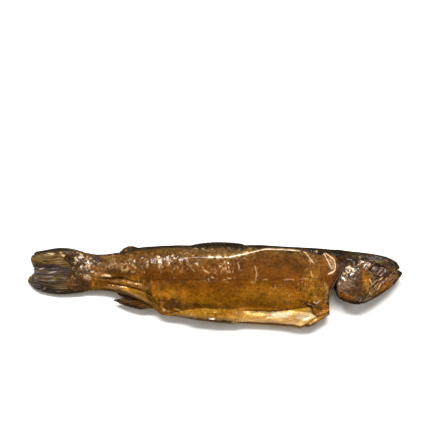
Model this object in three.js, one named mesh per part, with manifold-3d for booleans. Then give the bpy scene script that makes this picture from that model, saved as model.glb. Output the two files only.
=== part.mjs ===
// A whole smoked trout, gutted, lying on its left side: one solid, in millimetres, +Z up.
// +X runs from the tail to the snout and +Y from the belly to the back. The origin is the middle of the
// box's base. The trunk, the skull, the lower jaw and the gill covers are lofts of cross-sections; the
// belly slit, the gill chamber, the throat cut and the ragged tail edge are cut out of them, and the
// fins and eyes are joined on.

import * as THREE from "three";
import { mergeVertices } from "three/addons/utils/BufferGeometryUtils.js";
import Module from "manifold-3d";

const wasm = await Module();
wasm.setup();

// ---------------------------------------------------------------- driving dimensions, in millimetres

const SNOUT_X = 147.4;
const JAW_TIP_X = 149.7;
const TAIL_ROOT_X = -108;
const TAIL_END_X = -151;
const VENT_X = -40;
const NECK_END_X = 110;
const GILL_REAR_X = 96.4;
const GILL_FRONT_X = 121;
const JAW_HINGE_X = 117;
const SKULL_REAR_X = 104;

const WALL = 1.3; // the gill covers' thickness
const MOUTH_GAP = 0.5;
const FLAP = 2.4; // the least thickness of a belly flap
const SLIT_GAP = 1.2; // between the two belly flaps at their lips
const TAIL_RAYS = 11;
const RAY_HEIGHT = 0.3;
const FULLEST = 0.45; // how far down from the back the trunk is thickest, as a share of its depth
const HEAD_AXIS_Z = 13.7;
const THROUGH = 80; // taller than the fish, for cutters that go right through

const EYE = { x: 130.4, y: 11.4, radius: 5.8, standOut: 0.5 };

// Outlines seen from above: [x, y] along the fish.
const BACK_LINE = [
  [-108, 26.0], [-98, 23.7], [-92, 23.4], [-84, 24.4], [-72, 26.4], [-60, 28.9], [-44, 30.1],
  [-20, 30.7], [10, 31.3], [36, 31.4], [52, 30.1], [84, 28.5], [100, 27.2], [116, 24.9], [126, 23.7],
  [134, 22.2], [140, 20.0], [145, 17.0], [147.4, 13.6],
];
const BELLY_LINE = [
  [-108, -5.6], [-98, -4.7], [-86, -5.0], [-76, -7.0], [-64, -10.6], [-54, -15.6], [-48, -20.2],
  [-43, -24.2], [-36, -25.1], [-28, -26.0], [-20, -27.4], [-12, -28.6], [10, -30.3], [36, -31.6],
  [60, -33.2], [72, -34.1], [79, -32.8], [86, -27.6], [94, -22.8], [110, -20],
];
const CHIN_LINE = [
  [112, -15.2], [118, -14.8], [127, -11.0], [136, -5.4], [142, -0.8], [146.5, 4.0], [149, 7.4], [149.7, 9.3],
];
const MOUTH_LINE = [[112, -9], [120, -5.2], [128, 1.0], [136, 6.2], [143, 10.6], [149.7, 11.6]];
const SKULL_FLOOR = [
  [104, 13], [110, 4], [115, -11.5], [119, -11.8], [123, -5.0], [128, 1.5], [136, 6.8], [143, 11.2],
  [146, 12.4], [147.4, 13.2],
];
const GILL_TOP = [[96.4, 3.4], [98, 7.8], [101, 13.4], [105, 16.6], [110, 18.6], [121, 19.6]];
const GILL_FOOT = [[96.4, -5.6], [98, -9.6], [101, -12.0], [106, -14.2], [113, -15.6], [121, -14.0]];
const TAIL_TOP = [[-151, 25.2], [-138, 27.4], [-126, 29.3], [-116, 28.4], [-108, 26.0], [-100, 24.2]];
const TAIL_FOOT = [[-151, 1.0], [-144, -4.0], [-136, -6.2], [-126, -7.4], [-116, -6.6], [-108, -5.6], [-100, -4.8]];

// Half thicknesses, [x, size], and the height of the section's middle, [x, z].
const TRUNK_HALF = [
  [-108, 4.2], [-98, 5.6], [-84, 7.4], [-66, 9.6], [-44, 12.4], [-16, 14.4], [20, 15.2], [60, 15.1],
  [84, 14.2], [98, 12.8], [110, 10.4],
];
const TRUNK_AXIS = [[-108, 6.6], [-84, 8.6], [-56, 11.4], [-20, 13.8], [10, 14.2], [80, 14.2], [110, 13.8]];
const BELLY_DROOP = [[-108, 0], [-60, 0.6], [-36, 3.2], [0, 5.4], [40, 6.6], [84, 6.6], [96, 4.4], [110, 2]];
const FLAP_SHARE = [[-108, 0.16], [-50, 0.16], [-20, 0.2], [20, 0.22], [60, 0.27], [90, 0.27], [110, 0.2]];
const FLANK_END = [[-108, 1], [-50, 1], [-20, 0.94], [20, 0.92], [60, 0.86], [90, 0.88], [110, 1]];
const SKULL_HALF = [
  [104, 8.6], [112, 11.6], [118, 12.3], [124, 11.8], [130, 10.2], [136, 7.9], [141, 5.9], [145, 3.9],
  [147.4, 1.6],
];
const JAW_HALF = [[117, 10.6], [124, 9.6], [132, 7.8], [140, 5.4], [146, 3.2], [149.7, 1.2]];
const GILL_HALF = [[96.4, 9.8], [99, 11.6], [104, 12.8], [110, 13.2], [116, 12.8], [121, 11.4]];
const TAIL_HALF = [[-151, 0.7], [-138, 0.9], [-126, 1.4], [-116, 2.6], [-108, 4.2], [-100, 5.2]];
const TAIL_AXIS = [[-151, 4.6], [-130, 5.4], [-112, 6.4], [-100, 7.4]];
const SLIT_DEPTH = [[-42, 3], [-24, 9], [10, 17], [50, 23], [80, 25], [100, 27]];
const SLIT_HALF = [[-42, 0.5], [-24, 2.2], [10, 5.2], [60, 6.6], [100, 6.2]];

// Outlines that cut right through: [x, y].
const THROAT_CUT = [
  [96, -60], [91.4, -21], [90.8, -13], [91, -5.4], [92.8, -2.4], [95.2, 2.4], [98.4, 8], [101, 12.6],
  [106, 14.2], [116, 13.6], [116, -60],
];
const TAIL_EDGE_CUT = [
  [-161, 40], [-146.5, 40], [-145.6, 26.0], [-147.4, 23.6], [-148.8, 21], [-148.0, 18.2], [-146.2, 15.8],
  [-145.4, 12.4], [-146.6, 8.6], [-148.8, 5.4], [-150.6, 3.0], [-150.2, 1.0], [-148.2, -1.6],
  [-143, -4.6], [-149, -30], [-161, -30],
];
const ANAL_FIN = [
  [-44, -20.5], [-50, -20.4], [-60, -19.3], [-68, -18.0], [-76, -15.9], [-81.4, -13.8], [-81.7, -12.5],
  [-78, -11.2], [-72, -10.6], [-66, -9.2], [-56, -12], [-48, -17],
];
const ADIPOSE_FIN = [
  [-59, 27.6], [-62, 29.4], [-66, 30.6], [-70, 30.3], [-74, 28.6], [-76.4, 26.0], [-75, 24.6], [-66, 25.4],
];
const DORSAL_FIN = [
  [24, 29.6], [20, 31.8], [13, 33.6], [4, 33.9], [-6, 33.4], [-14, 32.0], [-21, 30.9], [-18, 28.4],
  [4, 28.6],
];
const PECTORAL_FIN = [[77, -18], [80, -15.4], [86, -14.4], [90.6, -16.6], [90.4, -20.4], [86, -23.6], [80, -24.6]];
const PELVIC_FIN = [[13, -28.4], [16, -30.4], [8, -31.5], [-3, -31.3], [-12, -30.3], [-16, -29.0], [-8, -27.6]];

// ---------------------------------------------------------------- curves and closed meshes

/** A smooth function through [x, value] points, level with its end values outside them. */
function through(points) {
  const last = points.length - 1;
  const slope = points.map((_, i) => {
    const a = points[Math.max(i - 1, 0)];
    const b = points[Math.min(i + 1, last)];
    return (b[1] - a[1]) / (b[0] - a[0]);
  });
  return (x) => {
    if (x <= points[0][0]) return points[0][1];
    if (x >= points[last][0]) return points[last][1];
    const i = points.findIndex((p) => p[0] > x) - 1;
    const [x0, y0] = points[i];
    const [x1, y1] = points[i + 1];
    const step = x1 - x0;
    const t = (x - x0) / step;
    const s = 1 - t;
    return (1 + 2 * t) * s * s * y0 + t * s * s * step * slope[i]
      + t * t * (3 - 2 * t) * y1 - t * t * s * step * slope[i + 1];
  };
}

const backLine = through(BACK_LINE);
const bellyLine = through(BELLY_LINE);
const chinLine = through(CHIN_LINE);
const mouthLine = through(MOUTH_LINE);
const trunkHalf = through(TRUNK_HALF);
const trunkAxis = through(TRUNK_AXIS);
const bellyDroop = through(BELLY_DROOP);
const flapShare = through(FLAP_SHARE);
const flankEnd = through(FLANK_END);

/** 0 at low and 1 at high, with a smooth turn at both; high may be the smaller number. */
function smoothStep(low, high, x) {
  const t = Math.min(Math.max((x - low) / (high - low), 0), 1);
  return t * t * (3 - 2 * t);
}

/** The larger of a and b, with the corner between them rounded over a width of r. */
function softMax(a, b, r) {
  const h = Math.max(r - Math.abs(a - b), 0) / r;
  return Math.max(a, b) + (h * h * r) / 4;
}

/** A closed mesh through rings of points, each ring with the same count, and a fan over both ends. */
function loft(rings) {
  const count = rings[0].length;
  const middle = (ring) =>
    ring.reduce((sum, p) => sum.add(p), new THREE.Vector3()).divideScalar(ring.length);
  const points = [...rings.flat(), middle(rings[0]), middle(rings[rings.length - 1])];
  const first = rings.length * count;
  const index = [];
  for (let k = 0; k < count; k++) {
    const next = (k + 1) % count;
    for (let i = 0; i + 1 < rings.length; i++) {
      const a = i * count + k;
      const b = i * count + next;
      index.push(a, b, b + count, a, b + count, a + count);
    }
    const end = (rings.length - 1) * count;
    index.push(first, next, k, first + 1, end + k, end + next);
  }
  const geometry = new THREE.BufferGeometry().setFromPoints(points);
  geometry.setIndex(index);
  return geometry;
}

/** Stations from a to b, closer together at the two ends by the share given. */
function stations(a, b, count, bunch = 0.5) {
  return Array.from({ length: count + 1 }, (_, i) => {
    const t = i / count;
    return a + (b - a) * (t * (1 - bunch) + bunch * (1 - Math.cos(Math.PI * t)) / 2);
  });
}

/**
 * One cross-section across the fish at x. top and foot bound it in y, half is its half thickness, and
 * axis(t) is the height of its middle, where t runs from 0 at the top to 1 at the foot. rise(t) is the
 * share of the half thickness reached there.
 */
function section(x, { top, foot, half, axis, rise, sides, ridge = () => 0 }) {
  const points = [];
  for (let k = 0; k < sides; k++) {
    const turn = (2 * Math.PI * k) / sides;
    const t = (1 - Math.cos(turn)) / 2;
    const y = top + (foot - top) * t;
    const out = half * rise(t) + ridge(t);
    const z = axis(t) + (Math.sin(turn) >= 0 ? out : -out);
    points.push(new THREE.Vector3(x, y, Math.max(z, 0)));
  }
  return points;
}

/** An oval's half thickness, fullest at t = crown. */
function oval(t, crown) {
  const bend = Math.log(0.5) / Math.log(crown);
  const s = 2 * Math.pow(Math.min(Math.max(t, 0), 1), bend) - 1;
  return Math.sqrt(Math.max(1 - s * s, 0));
}

/** A thin plate's half thickness: level, with both edges rounded, more tightly for a higher power. */
function plate(t, power = 6) {
  return Math.sqrt(Math.max(1 - Math.pow(Math.abs(2 * t - 1), power), 0));
}

/** The outline pulled through the height from low to high, as a closed mesh. */
function slab(outline, low, high) {
  const shape = new THREE.Shape(outline.map(([x, y]) => new THREE.Vector2(x, y)));
  return new THREE.ExtrudeGeometry(shape, { depth: high - low, bevelEnabled: false }).translate(0, 0, low);
}

/** The outline swollen to a cushion shape: full in the middle, thin at the edge, round height mid(x, y). */
function cushion(outline, thickness, mid, edge = 0.35) {
  const curve = new THREE.CatmullRomCurve3(
    outline.map(([x, y]) => new THREE.Vector3(x, y, 0)), true, "centripetal",
  );
  const rim = curve.getPoints(Math.round(outline.length * 1.6)).slice(0, -1);
  const centre = rim.reduce((sum, p) => sum.add(p), new THREE.Vector3()).divideScalar(rim.length);
  const shares = [0.08, 0.7, 1];
  const layer = (sign) => shares.map((share) =>
    rim.map((p) => {
      const q = centre.clone().lerp(p, share);
      const lift = thickness / 2 * Math.max(edge, Math.sqrt(1 - share * share));
      return new THREE.Vector3(q.x, q.y, mid(q.x, q.y) + sign * lift);
    }),
  );
  return loft([...layer(1), ...layer(-1).reverse()]);
}

/** The solid that manifold-3d joins and cuts, whichever way its faces were wound. */
function solid(geometry) {
  const bare = geometry.clone();
  bare.deleteAttribute("normal");
  bare.deleteAttribute("uv");
  const merged = mergeVertices(bare, 1e-4);
  const vertProperties = new Float32Array(merged.attributes.position.array);
  const triVerts = new Uint32Array(merged.index.array);
  const made = new wasm.Manifold(new wasm.Mesh({ numProp: 3, vertProperties, triVerts }));
  if (made.volume() > 0) return made;
  for (let i = 0; i < triVerts.length; i += 3) {
    [triVerts[i + 1], triVerts[i + 2]] = [triVerts[i + 2], triVerts[i + 1]];
  }
  return new wasm.Manifold(new wasm.Mesh({ numProp: 3, vertProperties, triVerts }));
}

function toGeometry(made) {
  const mesh = made.getMesh();
  const geometry = new THREE.BufferGeometry();
  geometry.setAttribute("position", new THREE.BufferAttribute(new Float32Array(mesh.vertProperties), 3));
  geometry.setIndex(new THREE.BufferAttribute(new Uint32Array(mesh.triVerts), 1));
  return geometry;
}

// ---------------------------------------------------------------- the fish's parts

/** The trunk's shape across at x: its middle droops to the belly, where it thins to two flaps. */
function trunkShape(x) {
  const top = backLine(x);
  const foot = bellyLine(x);
  const share = (y) => (top - y) / (top - foot);
  const flap = (t) => flapShare(x) * smoothStep(0.3, 0.6, t);
  const rise = (t) => softMax(oval(t / flankEnd(x), FULLEST), flap(t), 0.1) * plate(t, 40);
  const axis = (t) => trunkAxis(x) - bellyDroop(x) * smoothStep(0.35, 0.95, t);
  return { top, foot, half: trunkHalf(x), rise, axis, share };
}

function trunk() {
  const rings = stations(TAIL_ROOT_X, NECK_END_X, 42, 0.25).map((x) =>
    section(x, { ...trunkShape(x), sides: 34 }),
  );
  return solid(loft(rings));
}

/** The hollow between the belly flaps, open along the slit and at the throat. */
function bellyHollow() {
  const depth = through(SLIT_DEPTH);
  const half = through(SLIT_HALF);
  const rings = stations(VENT_X, NECK_END_X, 20, 0).map((x) => {
    const shape = trunkShape(x);
    const top = shape.foot + depth(x);
    const foot = shape.foot - 4;
    const down = (t) => shape.share(top + (foot - top) * t);
    const width = (t) => {
      const room = shape.half * shape.rise(Math.min(down(t), 0.9)) - FLAP;
      return Math.max(SLIT_GAP / 2, Math.min(half(x) * oval(t, 0.45), room)) * plate(t, 24);
    };
    return section(x, { top, foot, half: 1, axis: (t) => shape.axis(down(t)), rise: width, sides: 20 });
  });
  return solid(loft(rings));
}

/** Skull, cheeks and upper jaw. */
function skull() {
  const floor = through(SKULL_FLOOR);
  const half = through(SKULL_HALF);
  const rings = stations(SKULL_REAR_X, SNOUT_X, 20, 0.35).map((x) =>
    section(x, {
      top: backLine(x), foot: floor(x), half: half(x), axis: () => HEAD_AXIS_Z,
      rise: (t) => Math.pow(oval(t, 0.56), 0.8), sides: 24,
    }),
  );
  return solid(loft(rings));
}

/** The lower jaw, from its hinge under the cheek to the tip. */
function lowerJaw() {
  const half = through(JAW_HALF);
  const rings = stations(JAW_HINGE_X, JAW_TIP_X, 14, 0.35).map((x) =>
    section(x, {
      top: mouthLine(x) - MOUTH_GAP, foot: chinLine(x), half: half(x), axis: () => HEAD_AXIS_Z - 0.8,
      rise: (t) => Math.pow(oval(t, 0.42), 0.8), sides: 20,
    }),
  );
  return solid(loft(rings));
}

/** The two gill covers, one each side, joined by the membrane under the throat. */
function gillCovers() {
  const top = through(GILL_TOP);
  const foot = through(GILL_FOOT);
  const half = through(GILL_HALF);
  const drum = (from, to, inset, overTop) =>
    solid(loft(stations(from, to, 11, 0.35).map((x) =>
      section(x, {
        top: top(x) + overTop, foot: foot(x) + inset, half: half(x) - inset, axis: () => HEAD_AXIS_Z - 0.4,
        rise: (t) => Math.pow(oval(t, 0.5), 0.6), sides: 20,
      }),
    )));
  const chamber = drum(GILL_REAR_X - 3, GILL_FRONT_X - 6, WALL, WALL * 2);
  return drum(GILL_REAR_X, GILL_FRONT_X, 0, 0).subtract(chamber);
}

/** The tail fin, with the rays as ridges and its worn edge cut to shape. */
function tailFin() {
  const top = through(TAIL_TOP);
  const foot = through(TAIL_FOOT);
  const half = through(TAIL_HALF);
  const axis = through(TAIL_AXIS);
  const rings = stations(TAIL_END_X, TAIL_ROOT_X + 6, 11, 0).map((x) => {
    const flat = smoothStep(TAIL_ROOT_X, TAIL_ROOT_X - 14, x);
    const wave = (t) => Math.cos(2 * Math.PI * TAIL_RAYS * t);
    return section(x, {
      top: top(x), foot: foot(x), half: half(x), axis: () => axis(x),
      rise: (t) => flat * plate(t) + (1 - flat) * oval(t, FULLEST),
      ridge: (t) => RAY_HEIGHT * flat * plate(t) * wave(t), sides: 48,
    });
  });
  return solid(loft(rings)).subtract(solid(slab(TAIL_EDGE_CUT, -5, THROUGH)));
}

/** An eyeball, standing a little out of its socket on the side given: 1 is up, -1 is down. */
function eye(side) {
  const depth = 3;
  const surface = HEAD_AXIS_Z + side * (through(SKULL_HALF)(EYE.x) + EYE.standOut - depth);
  const ball = new THREE.SphereGeometry(1, 16, 8);
  ball.rotateX(Math.PI / 2).scale(EYE.radius, EYE.radius * 0.86, depth).translate(EYE.x, EYE.y, surface);
  return solid(ball);
}

/** A fin that lies against the flank's lower edge on the side given. */
function flankFin(outline, thickness, lift, side) {
  return solid(cushion(outline, thickness, (x) => trunkAxis(x) - bellyDroop(x) + side * lift));
}

function smokedTrout() {
  const body = trunk()
    .subtract(bellyHollow())
    .subtract(solid(slab(THROAT_CUT, -5, THROUGH)));
  const pieces = [
    gillCovers(), skull(), lowerJaw(), tailFin(), eye(1), eye(-1),
    solid(cushion(ANAL_FIN, 2.6, (x) => trunkAxis(x) - 3, 0.3)),
    solid(cushion(ADIPOSE_FIN, 3.4, trunkAxis, 0.4)),
    solid(cushion(DORSAL_FIN, 4.2, trunkAxis, 0.3)),
    flankFin(PECTORAL_FIN, 3.2, 5.2, 1), flankFin(PECTORAL_FIN, 3.2, 5.2, -1),
    flankFin(PELVIC_FIN, 2, 2.6, 1), flankFin(PELVIC_FIN, 2, 2.6, -1),
  ];
  return pieces.reduce((whole, piece) => whole.add(piece), body);
}

// ---------------------------------------------------------------- the model

const smokedSkin = new THREE.MeshStandardMaterial({ color: 0x8a5a1c, roughness: 0.35, metalness: 0.25 });

const fish = new THREE.Mesh(toGeometry(smokedTrout()), smokedSkin);
fish.name = "smoked_trout";

const model = new THREE.Group();
model.add(fish);

export default model;
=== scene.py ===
"""A whole smoked trout, gutted and lying on its left flank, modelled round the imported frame.

+X runs from the tail to the snout, +Y from the belly to the back and +Z up from the table. Shapes are
worked out in millimetres and written to the meshes in metres. A part starts as a sheet: a lattice of
points, rows along the fish by columns round it. Relief moves the points along their normals, and the
sheet becomes a mesh. Scales, fin rays, teeth and gill arches are grown by Geometry Nodes on points and
lines that lie on those sheets.
"""

import dataclasses
import functools
import math

import bmesh
import bpy
import numpy as np
from bpy.props import FloatProperty, FloatVectorProperty, IntProperty, PointerProperty
from bpy.types import Operator, Panel, PropertyGroup
from mathutils import Matrix, Vector
from mathutils.geometry import tessellate_polygon


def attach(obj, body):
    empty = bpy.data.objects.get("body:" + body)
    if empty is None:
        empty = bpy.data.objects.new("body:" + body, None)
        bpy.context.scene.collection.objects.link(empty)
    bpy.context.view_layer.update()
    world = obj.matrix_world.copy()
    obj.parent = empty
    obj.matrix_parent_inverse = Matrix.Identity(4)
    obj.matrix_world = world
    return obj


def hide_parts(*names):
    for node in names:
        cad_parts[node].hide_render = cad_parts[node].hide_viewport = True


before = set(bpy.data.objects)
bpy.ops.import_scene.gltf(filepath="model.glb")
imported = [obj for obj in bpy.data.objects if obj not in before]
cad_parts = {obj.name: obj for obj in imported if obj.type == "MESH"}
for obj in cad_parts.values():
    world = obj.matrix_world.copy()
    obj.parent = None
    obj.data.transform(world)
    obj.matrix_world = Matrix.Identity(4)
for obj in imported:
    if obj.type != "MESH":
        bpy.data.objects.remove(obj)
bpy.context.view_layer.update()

bl_info = {
    "name": "Smoked Trout",
    "version": (1, 0, 0),
    "blender": (4, 5, 0),
    "location": "View3D > Sidebar > Smoked Trout",
    "description": "Builds a whole smoked trout lying on a pale table",
    "category": "Add Mesh",
}

MM = 0.001
NODE = "smoked_trout"
BODY = "root"
NEAR = 1  # the side that faces up
FAR = -1  # the side that lies on the table
SIDES = ((NEAR, "near"), (FAR, "far"))


# --- curves, noise and relief


def through(points):
    """A smooth function through (x, value) points, level outside them."""
    xs, values = np.array(points, float).T
    last = len(xs) - 1
    low = np.clip(np.arange(len(xs)) - 1, 0, last)
    high = np.clip(np.arange(len(xs)) + 1, 0, last)
    slopes = (values[high] - values[low]) / (xs[high] - xs[low])

    def curve(x):
        x = np.clip(x, xs[0], xs[-1])
        i = np.clip(np.searchsorted(xs, x, side="right") - 1, 0, last - 1)
        step = xs[i + 1] - xs[i]
        t = (x - xs[i]) / step
        s = 1 - t
        return (
            (1 + 2 * t) * s * s * values[i]
            + t * s * s * step * slopes[i]
            + t * t * (3 - 2 * t) * values[i + 1]
            - t * t * s * step * slopes[i + 1]
        )

    return curve


def ease(low, high, x):
    """0 at low and 1 at high, with a smooth turn at both; high may be the smaller number."""
    t = np.clip((x - low) / (high - low), 0, 1)
    return t * t * (3 - 2 * t)


def soft_max(a, b, width):
    """The larger of a and b, with the corner between them rounded over width."""
    h = np.maximum(width - np.abs(a - b), 0) / width
    return np.maximum(a, b) + h * h * width / 4


def hill(x, middle, width):
    """A bell of height 1 at the middle, fading over width."""
    return np.exp(-(((x - middle) / width) ** 2))


def within(x, low, high, edge):
    """1 between low and high, fading to 0 over edge outside them."""
    return ease(low - edge, low, x) * ease(high + edge, high, x)


def oval(t, crown):
    """An oval's half thickness, fullest at t = crown."""
    s = 2 * np.clip(t, 0, 1) ** (math.log(0.5) / math.log(crown)) - 1
    return np.sqrt(np.maximum(1 - s * s, 0))


def plate(t, power=6):
    """A thin plate's half thickness: level, with both edges rounded."""
    return np.sqrt(np.maximum(1 - np.abs(2 * t - 1) ** power, 0))


def spaced(low, high, count, bunch=0.5):
    """count numbers from low to high, closer together at both ends by the share bunch."""
    t = np.linspace(0, 1, count)
    return low + (high - low) * (t * (1 - bunch) + bunch * (1 - np.cos(math.pi * t)) / 2)


def beside(x, y, line):
    """How far (x, y) lies from a line, positive on its left, and the share of the way along it."""
    line = np.array(line, float)
    nearest = np.full(np.shape(x), np.inf)
    side = np.ones(np.shape(x))
    share = np.zeros(np.shape(x))
    lengths = np.hypot(*np.diff(line, axis=0).T)
    before = np.concatenate([[0], np.cumsum(lengths)])
    for i, (start, length) in enumerate(zip(line[:-1], lengths)):
        along = (line[i + 1] - start) / length
        t = np.clip((x - start[0]) * along[0] + (y - start[1]) * along[1], 0, length)
        dx = x - start[0] - t * along[0]
        dy = y - start[1] - t * along[1]
        distance = np.hypot(dx, dy)
        nearer = distance < nearest
        nearest = np.where(nearer, distance, nearest)
        side = np.where(nearer, np.where(along[0] * dy - along[1] * dx >= 0, 1, -1), side)
        share = np.where(nearer, (before[i] + t) / before[-1], share)
    return nearest * side, share


def ridge(x, y, line, height, width, fade=0.15):
    """A rounded ridge along a line, dying away at both ends. A height below 0 makes a groove."""
    distance, share = beside(x, y, line)
    return height * hill(distance, 0, width) * ease(0, fade, share) * ease(1, 1 - fade, share)


def ridges(x, y, folds):
    """Ridges along lines, each with its height, its width and the share of it that dies away."""
    return sum(ridge(x, y, *fold) for fold in folds)


def each(lines, *values):
    """The same values for each of the lines."""
    return [(line, *values) for line in lines]


def on_line(line, share):
    """The points at these shares of the way along a line, smoothed at its corners."""
    line = np.array(line, float)
    before = np.concatenate([[0], np.cumsum(np.linalg.norm(np.diff(line, axis=0), axis=1))])
    return joined(*(through(np.stack([before / before[-1], part], 1))(share) for part in line.T))


def share_down(x, y, top, foot):
    """How far down from the curve top to the curve foot (x, y) lies, as a share of the way."""
    return np.clip((top(x) - y) / (top(x) - foot(x)), 0, 1)


def unit(vectors):
    return vectors / np.maximum(np.linalg.norm(vectors, axis=-1, keepdims=True), 1e-9)


def joined(*parts):
    """Points or vectors from their coordinates, spread to one shape."""
    return np.stack(np.broadcast_arrays(*parts), -1)


class Grain:
    """Smooth seeded noise in space, from -1 to 1."""

    SIDE = 32

    def __init__(self, seed):
        self.table = np.random.default_rng(seed).uniform(-1, 1, (self.SIDE,) * 3)

    def __call__(self, points, size):
        """Noise with lumps about size across. size is one number, or one for each axis."""
        place = points / np.array(size, float)
        cell = np.floor(place).astype(int)
        t = place - cell
        t = t * t * (3 - 2 * t)
        total = 0
        for corner in np.ndindex(2, 2, 2):
            i, j, k = np.moveaxis((cell + corner) % self.SIDE, -1, 0)
            weight = np.where(corner, t, 1 - t).prod(-1)
            total = total + weight * self.table[i, j, k]
        return total

    def creases(self, points, size, sharp=5):
        """Thin sharp ridges that wander over the surface: 1 on them and 0 between."""
        return (1 - np.abs(self(points, size))) ** sharp


# --- outlines, in millimetres, from above

back_line = through((
    (-126, 28.9), (-116, 28.2), (-108, 26.2), (-98, 24.3), (-92, 24.1), (-84, 24.8), (-72, 26.6),
    (-60, 29.5), (-44, 30.8), (-30, 31.7), (-16, 31.6), (10, 31.4), (36, 31.7), (52, 30.8), (84, 28.9),
    (100, 27.7), (116, 25.8), (126, 24.6), (134, 23.1), (140, 21), (145, 18.1), (147.4, 14.4),
))
belly_line = through((
    (-126, -7.2), (-116, -6.6), (-108, -5.6), (-98, -4.7), (-86, -5), (-76, -7), (-64, -10.6), (-54, -15.6),
    (-48, -20.2), (-43, -24.2), (-36, -25.1), (-28, -26), (-20, -27.4), (-12, -28.6), (10, -30.9),
    (36, -32.8), (60, -34.3), (72, -34.6), (79, -33), (86, -27.6), (94, -22.8), (110, -20),
))
chin_line = through((
    (112, -15.2), (118, -14.8), (127, -11), (136, -5.4), (142, -0.8), (146.5, 4), (149, 7.4), (149.7, 9.3),
))
jaw_top = through((
    (112, -7.9), (120, -4.1), (128, 2.1), (136, 7.3), (140, 9.9), (143, 11.7), (145.4, 12), (147.6, 11.2),
    (149.7, 9.5),
))
skull_floor = through((
    (96, 14), (104, 13), (110, 4), (115, -11.5), (119, -11.8), (123, -5), (128, 1.5), (136, 6.8),
    (143, 11.2), (146, 12.4), (147.4, 13.2),
))
gill_top = through(((96.4, 3.4), (98, 7.8), (101, 13.4), (105, 16.6), (110, 18.6), (121, 19.6)))
gill_foot = through(((96.4, -5.6), (98, -9.6), (101, -12), (106, -14.2), (113, -15.6), (121, -14)))

# How much the near flap is shorter than the far one.
flap_drawn_up = through(((-20, 0), (14, 0), (24, 2.2), (70, 2.4), (80, 1.2), (88, 0)))

# How far forward the trunk's skin reaches, by its share of the way from the back to the belly, and how
# far back its worn edge lies on the tail fin.
collar_line = through((
    (0, 108), (0.2, 106), (0.26, 102.5), (0.3, 101), (0.38, 98.4), (0.49, 95.2), (0.58, 92.8), (0.64, 91),
    (0.78, 90.6), (1, 91),
))
tail_skin_edge = through((
    (0, -113), (0.1, -118), (0.22, -122), (0.34, -117), (0.46, -115), (0.58, -119), (0.7, -116),
    (0.85, -119), (1, -112),
))

# Half thicknesses and heights, by distance along the fish.
trunk_half = through((
    (-126, 1), (-118, 1.7), (-108, 4.2), (-98, 5.6), (-84, 7.4), (-66, 9.6), (-44, 12.4), (-16, 14.4),
    (20, 15.2), (60, 15.1), (84, 14.2), (98, 12.8), (110, 10.4),
))
trunk_axis = through((
    (-126, 5.7), (-108, 6.6), (-84, 8.6), (-56, 11.4), (-20, 13.8), (10, 14.2), (80, 14.2), (110, 13.8),
))
belly_droop = through((
    (-108, 0), (-60, 0.6), (-36, 3.2), (0, 5.4), (40, 5.6), (72, 3.6), (84, 3.6), (96, 3), (110, 2),
))
# The flank's flatness: 1 is an oval, less is flatter. How steeply the back falls away above the crease.
flatness = through((
    (-60, 1), (-30, 0.8), (-6, 0.42), (10, 0.2), (24, 0.1), (74, 0.1), (88, 0.45), (100, 0.9),
))
back_fall = through(((-34, 0), (-14, 0.3), (4, 0.42), (20, 0.5), (40, 0.6), (66, 0.7), (74, 0.3), (80, 0)))
flank_end = through((
    (-108, 1), (-42, 1), (-27, 0.93), (-13, 0.86), (4, 0.84), (60, 0.845), (90, 0.88), (110, 1),
))
lip_radius = through(((-120, 0.03), (-60, 0.05), (-46, 0.7), (-20, 1.5), (60, 1.9), (90, 1.8), (110, 1.6)))
slit_half = through(((-120, 0.01), (-52, 0.01), (-42, 0.3), (-10, 0.7), (60, 0.9), (110, 0.9)))
hollow_depth = through((
    (-126, 0.1), (-50, 0.1), (-42, 3), (-24, 9), (10, 17), (50, 23), (80, 25), (100, 27),
))
hollow_half = through(((-126, 0.01), (-50, 0.01), (-42, 0.5), (-24, 2.2), (10, 5.2), (60, 6.6), (100, 6.2)))
skull_half = through((
    (96, 6), (104, 9.4), (112, 11.6), (118, 12.3), (124, 11.8), (130, 10.2), (136, 7.9), (141, 5.9),
    (145, 3.9), (147.4, 1.2),
))
jaw_half = through((
    (112, 9), (117, 10.4), (124, 9.6), (132, 7.8), (140, 5.4), (146, 3.2), (149, 1.8), (149.7, 0.8),
))
gill_half = through((
    (96.4, 9.6), (98, 11.2), (104, 12.9), (110, 13.3), (116, 12.9), (119, 11.8), (121, 9.8),
))

CREASE_BEND = 1.6  # how sharply the back bends at its long crease
FULLEST = 0.45  # how far down from the back the trunk is thickest, as a share of its depth
FULL_DEPTH = 62.0  # the trunk's greatest depth from the back to the belly
FLAP = 2.4  # the least thickness of a belly flap
HEAD_AXIS, JAW_AXIS, GILL_AXIS = 13.7, 12.9, 13.3  # how high the parts' middle planes lie
GILL_WALL = 1.2  # the thickness of a gill cover
JAW_SUNK, GILL_SUNK = 0.8, 0.4  # how far bones on the jaw and on the gill cover sink into them
GILL_REAR, GILL_FRONT = 96.4, 121.0
SKULL_SPAN, JAW_SPAN, TISSUE_SPAN = (97, 147.4), (112, 149.7), (84, 108)

# Lattices: rows along a part, or out from a fin's root, by columns round it or across one side of it.
SKULL_GRID, JAW_GRID, TISSUE_GRID = (150, 180), (120, 120), (50, 90)
GILL_GRID, TAIL_GRID, FIN_GRID, EYE_GRID = (80, 70), (110, 200), (40, 90), (40, 80)

tissue_top = through(((84, 20), (108, 19)))
tissue_foot = through(((84, -9), (90, -7.4), (93, -4.4), (96, 0), (99, 2.4), (108, 4)))
tissue_half = through(((84, 10.6), (92, 10), (98, 9), (108, 7)))

# Gill arches: the first one's place and middle, the step to the next, and their bow, height and reach out.
ARCH_X, ARCH_Y, ARCH_PITCH = 107.0, 1.0, 2.2
ARCH_BOW, ARCH_HALF, ARCH_OUT = 5.0, 11.0, 8.4
ARCH_POINTS = 34
FILAMENT = (0.45, 0.16, 3.2)  # its half width, half thickness and length
TOOTH = (0.26, 0.26, 1.0)
TEETH_SPAN = (124, 146)

# --- the trunk's lattice

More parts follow.
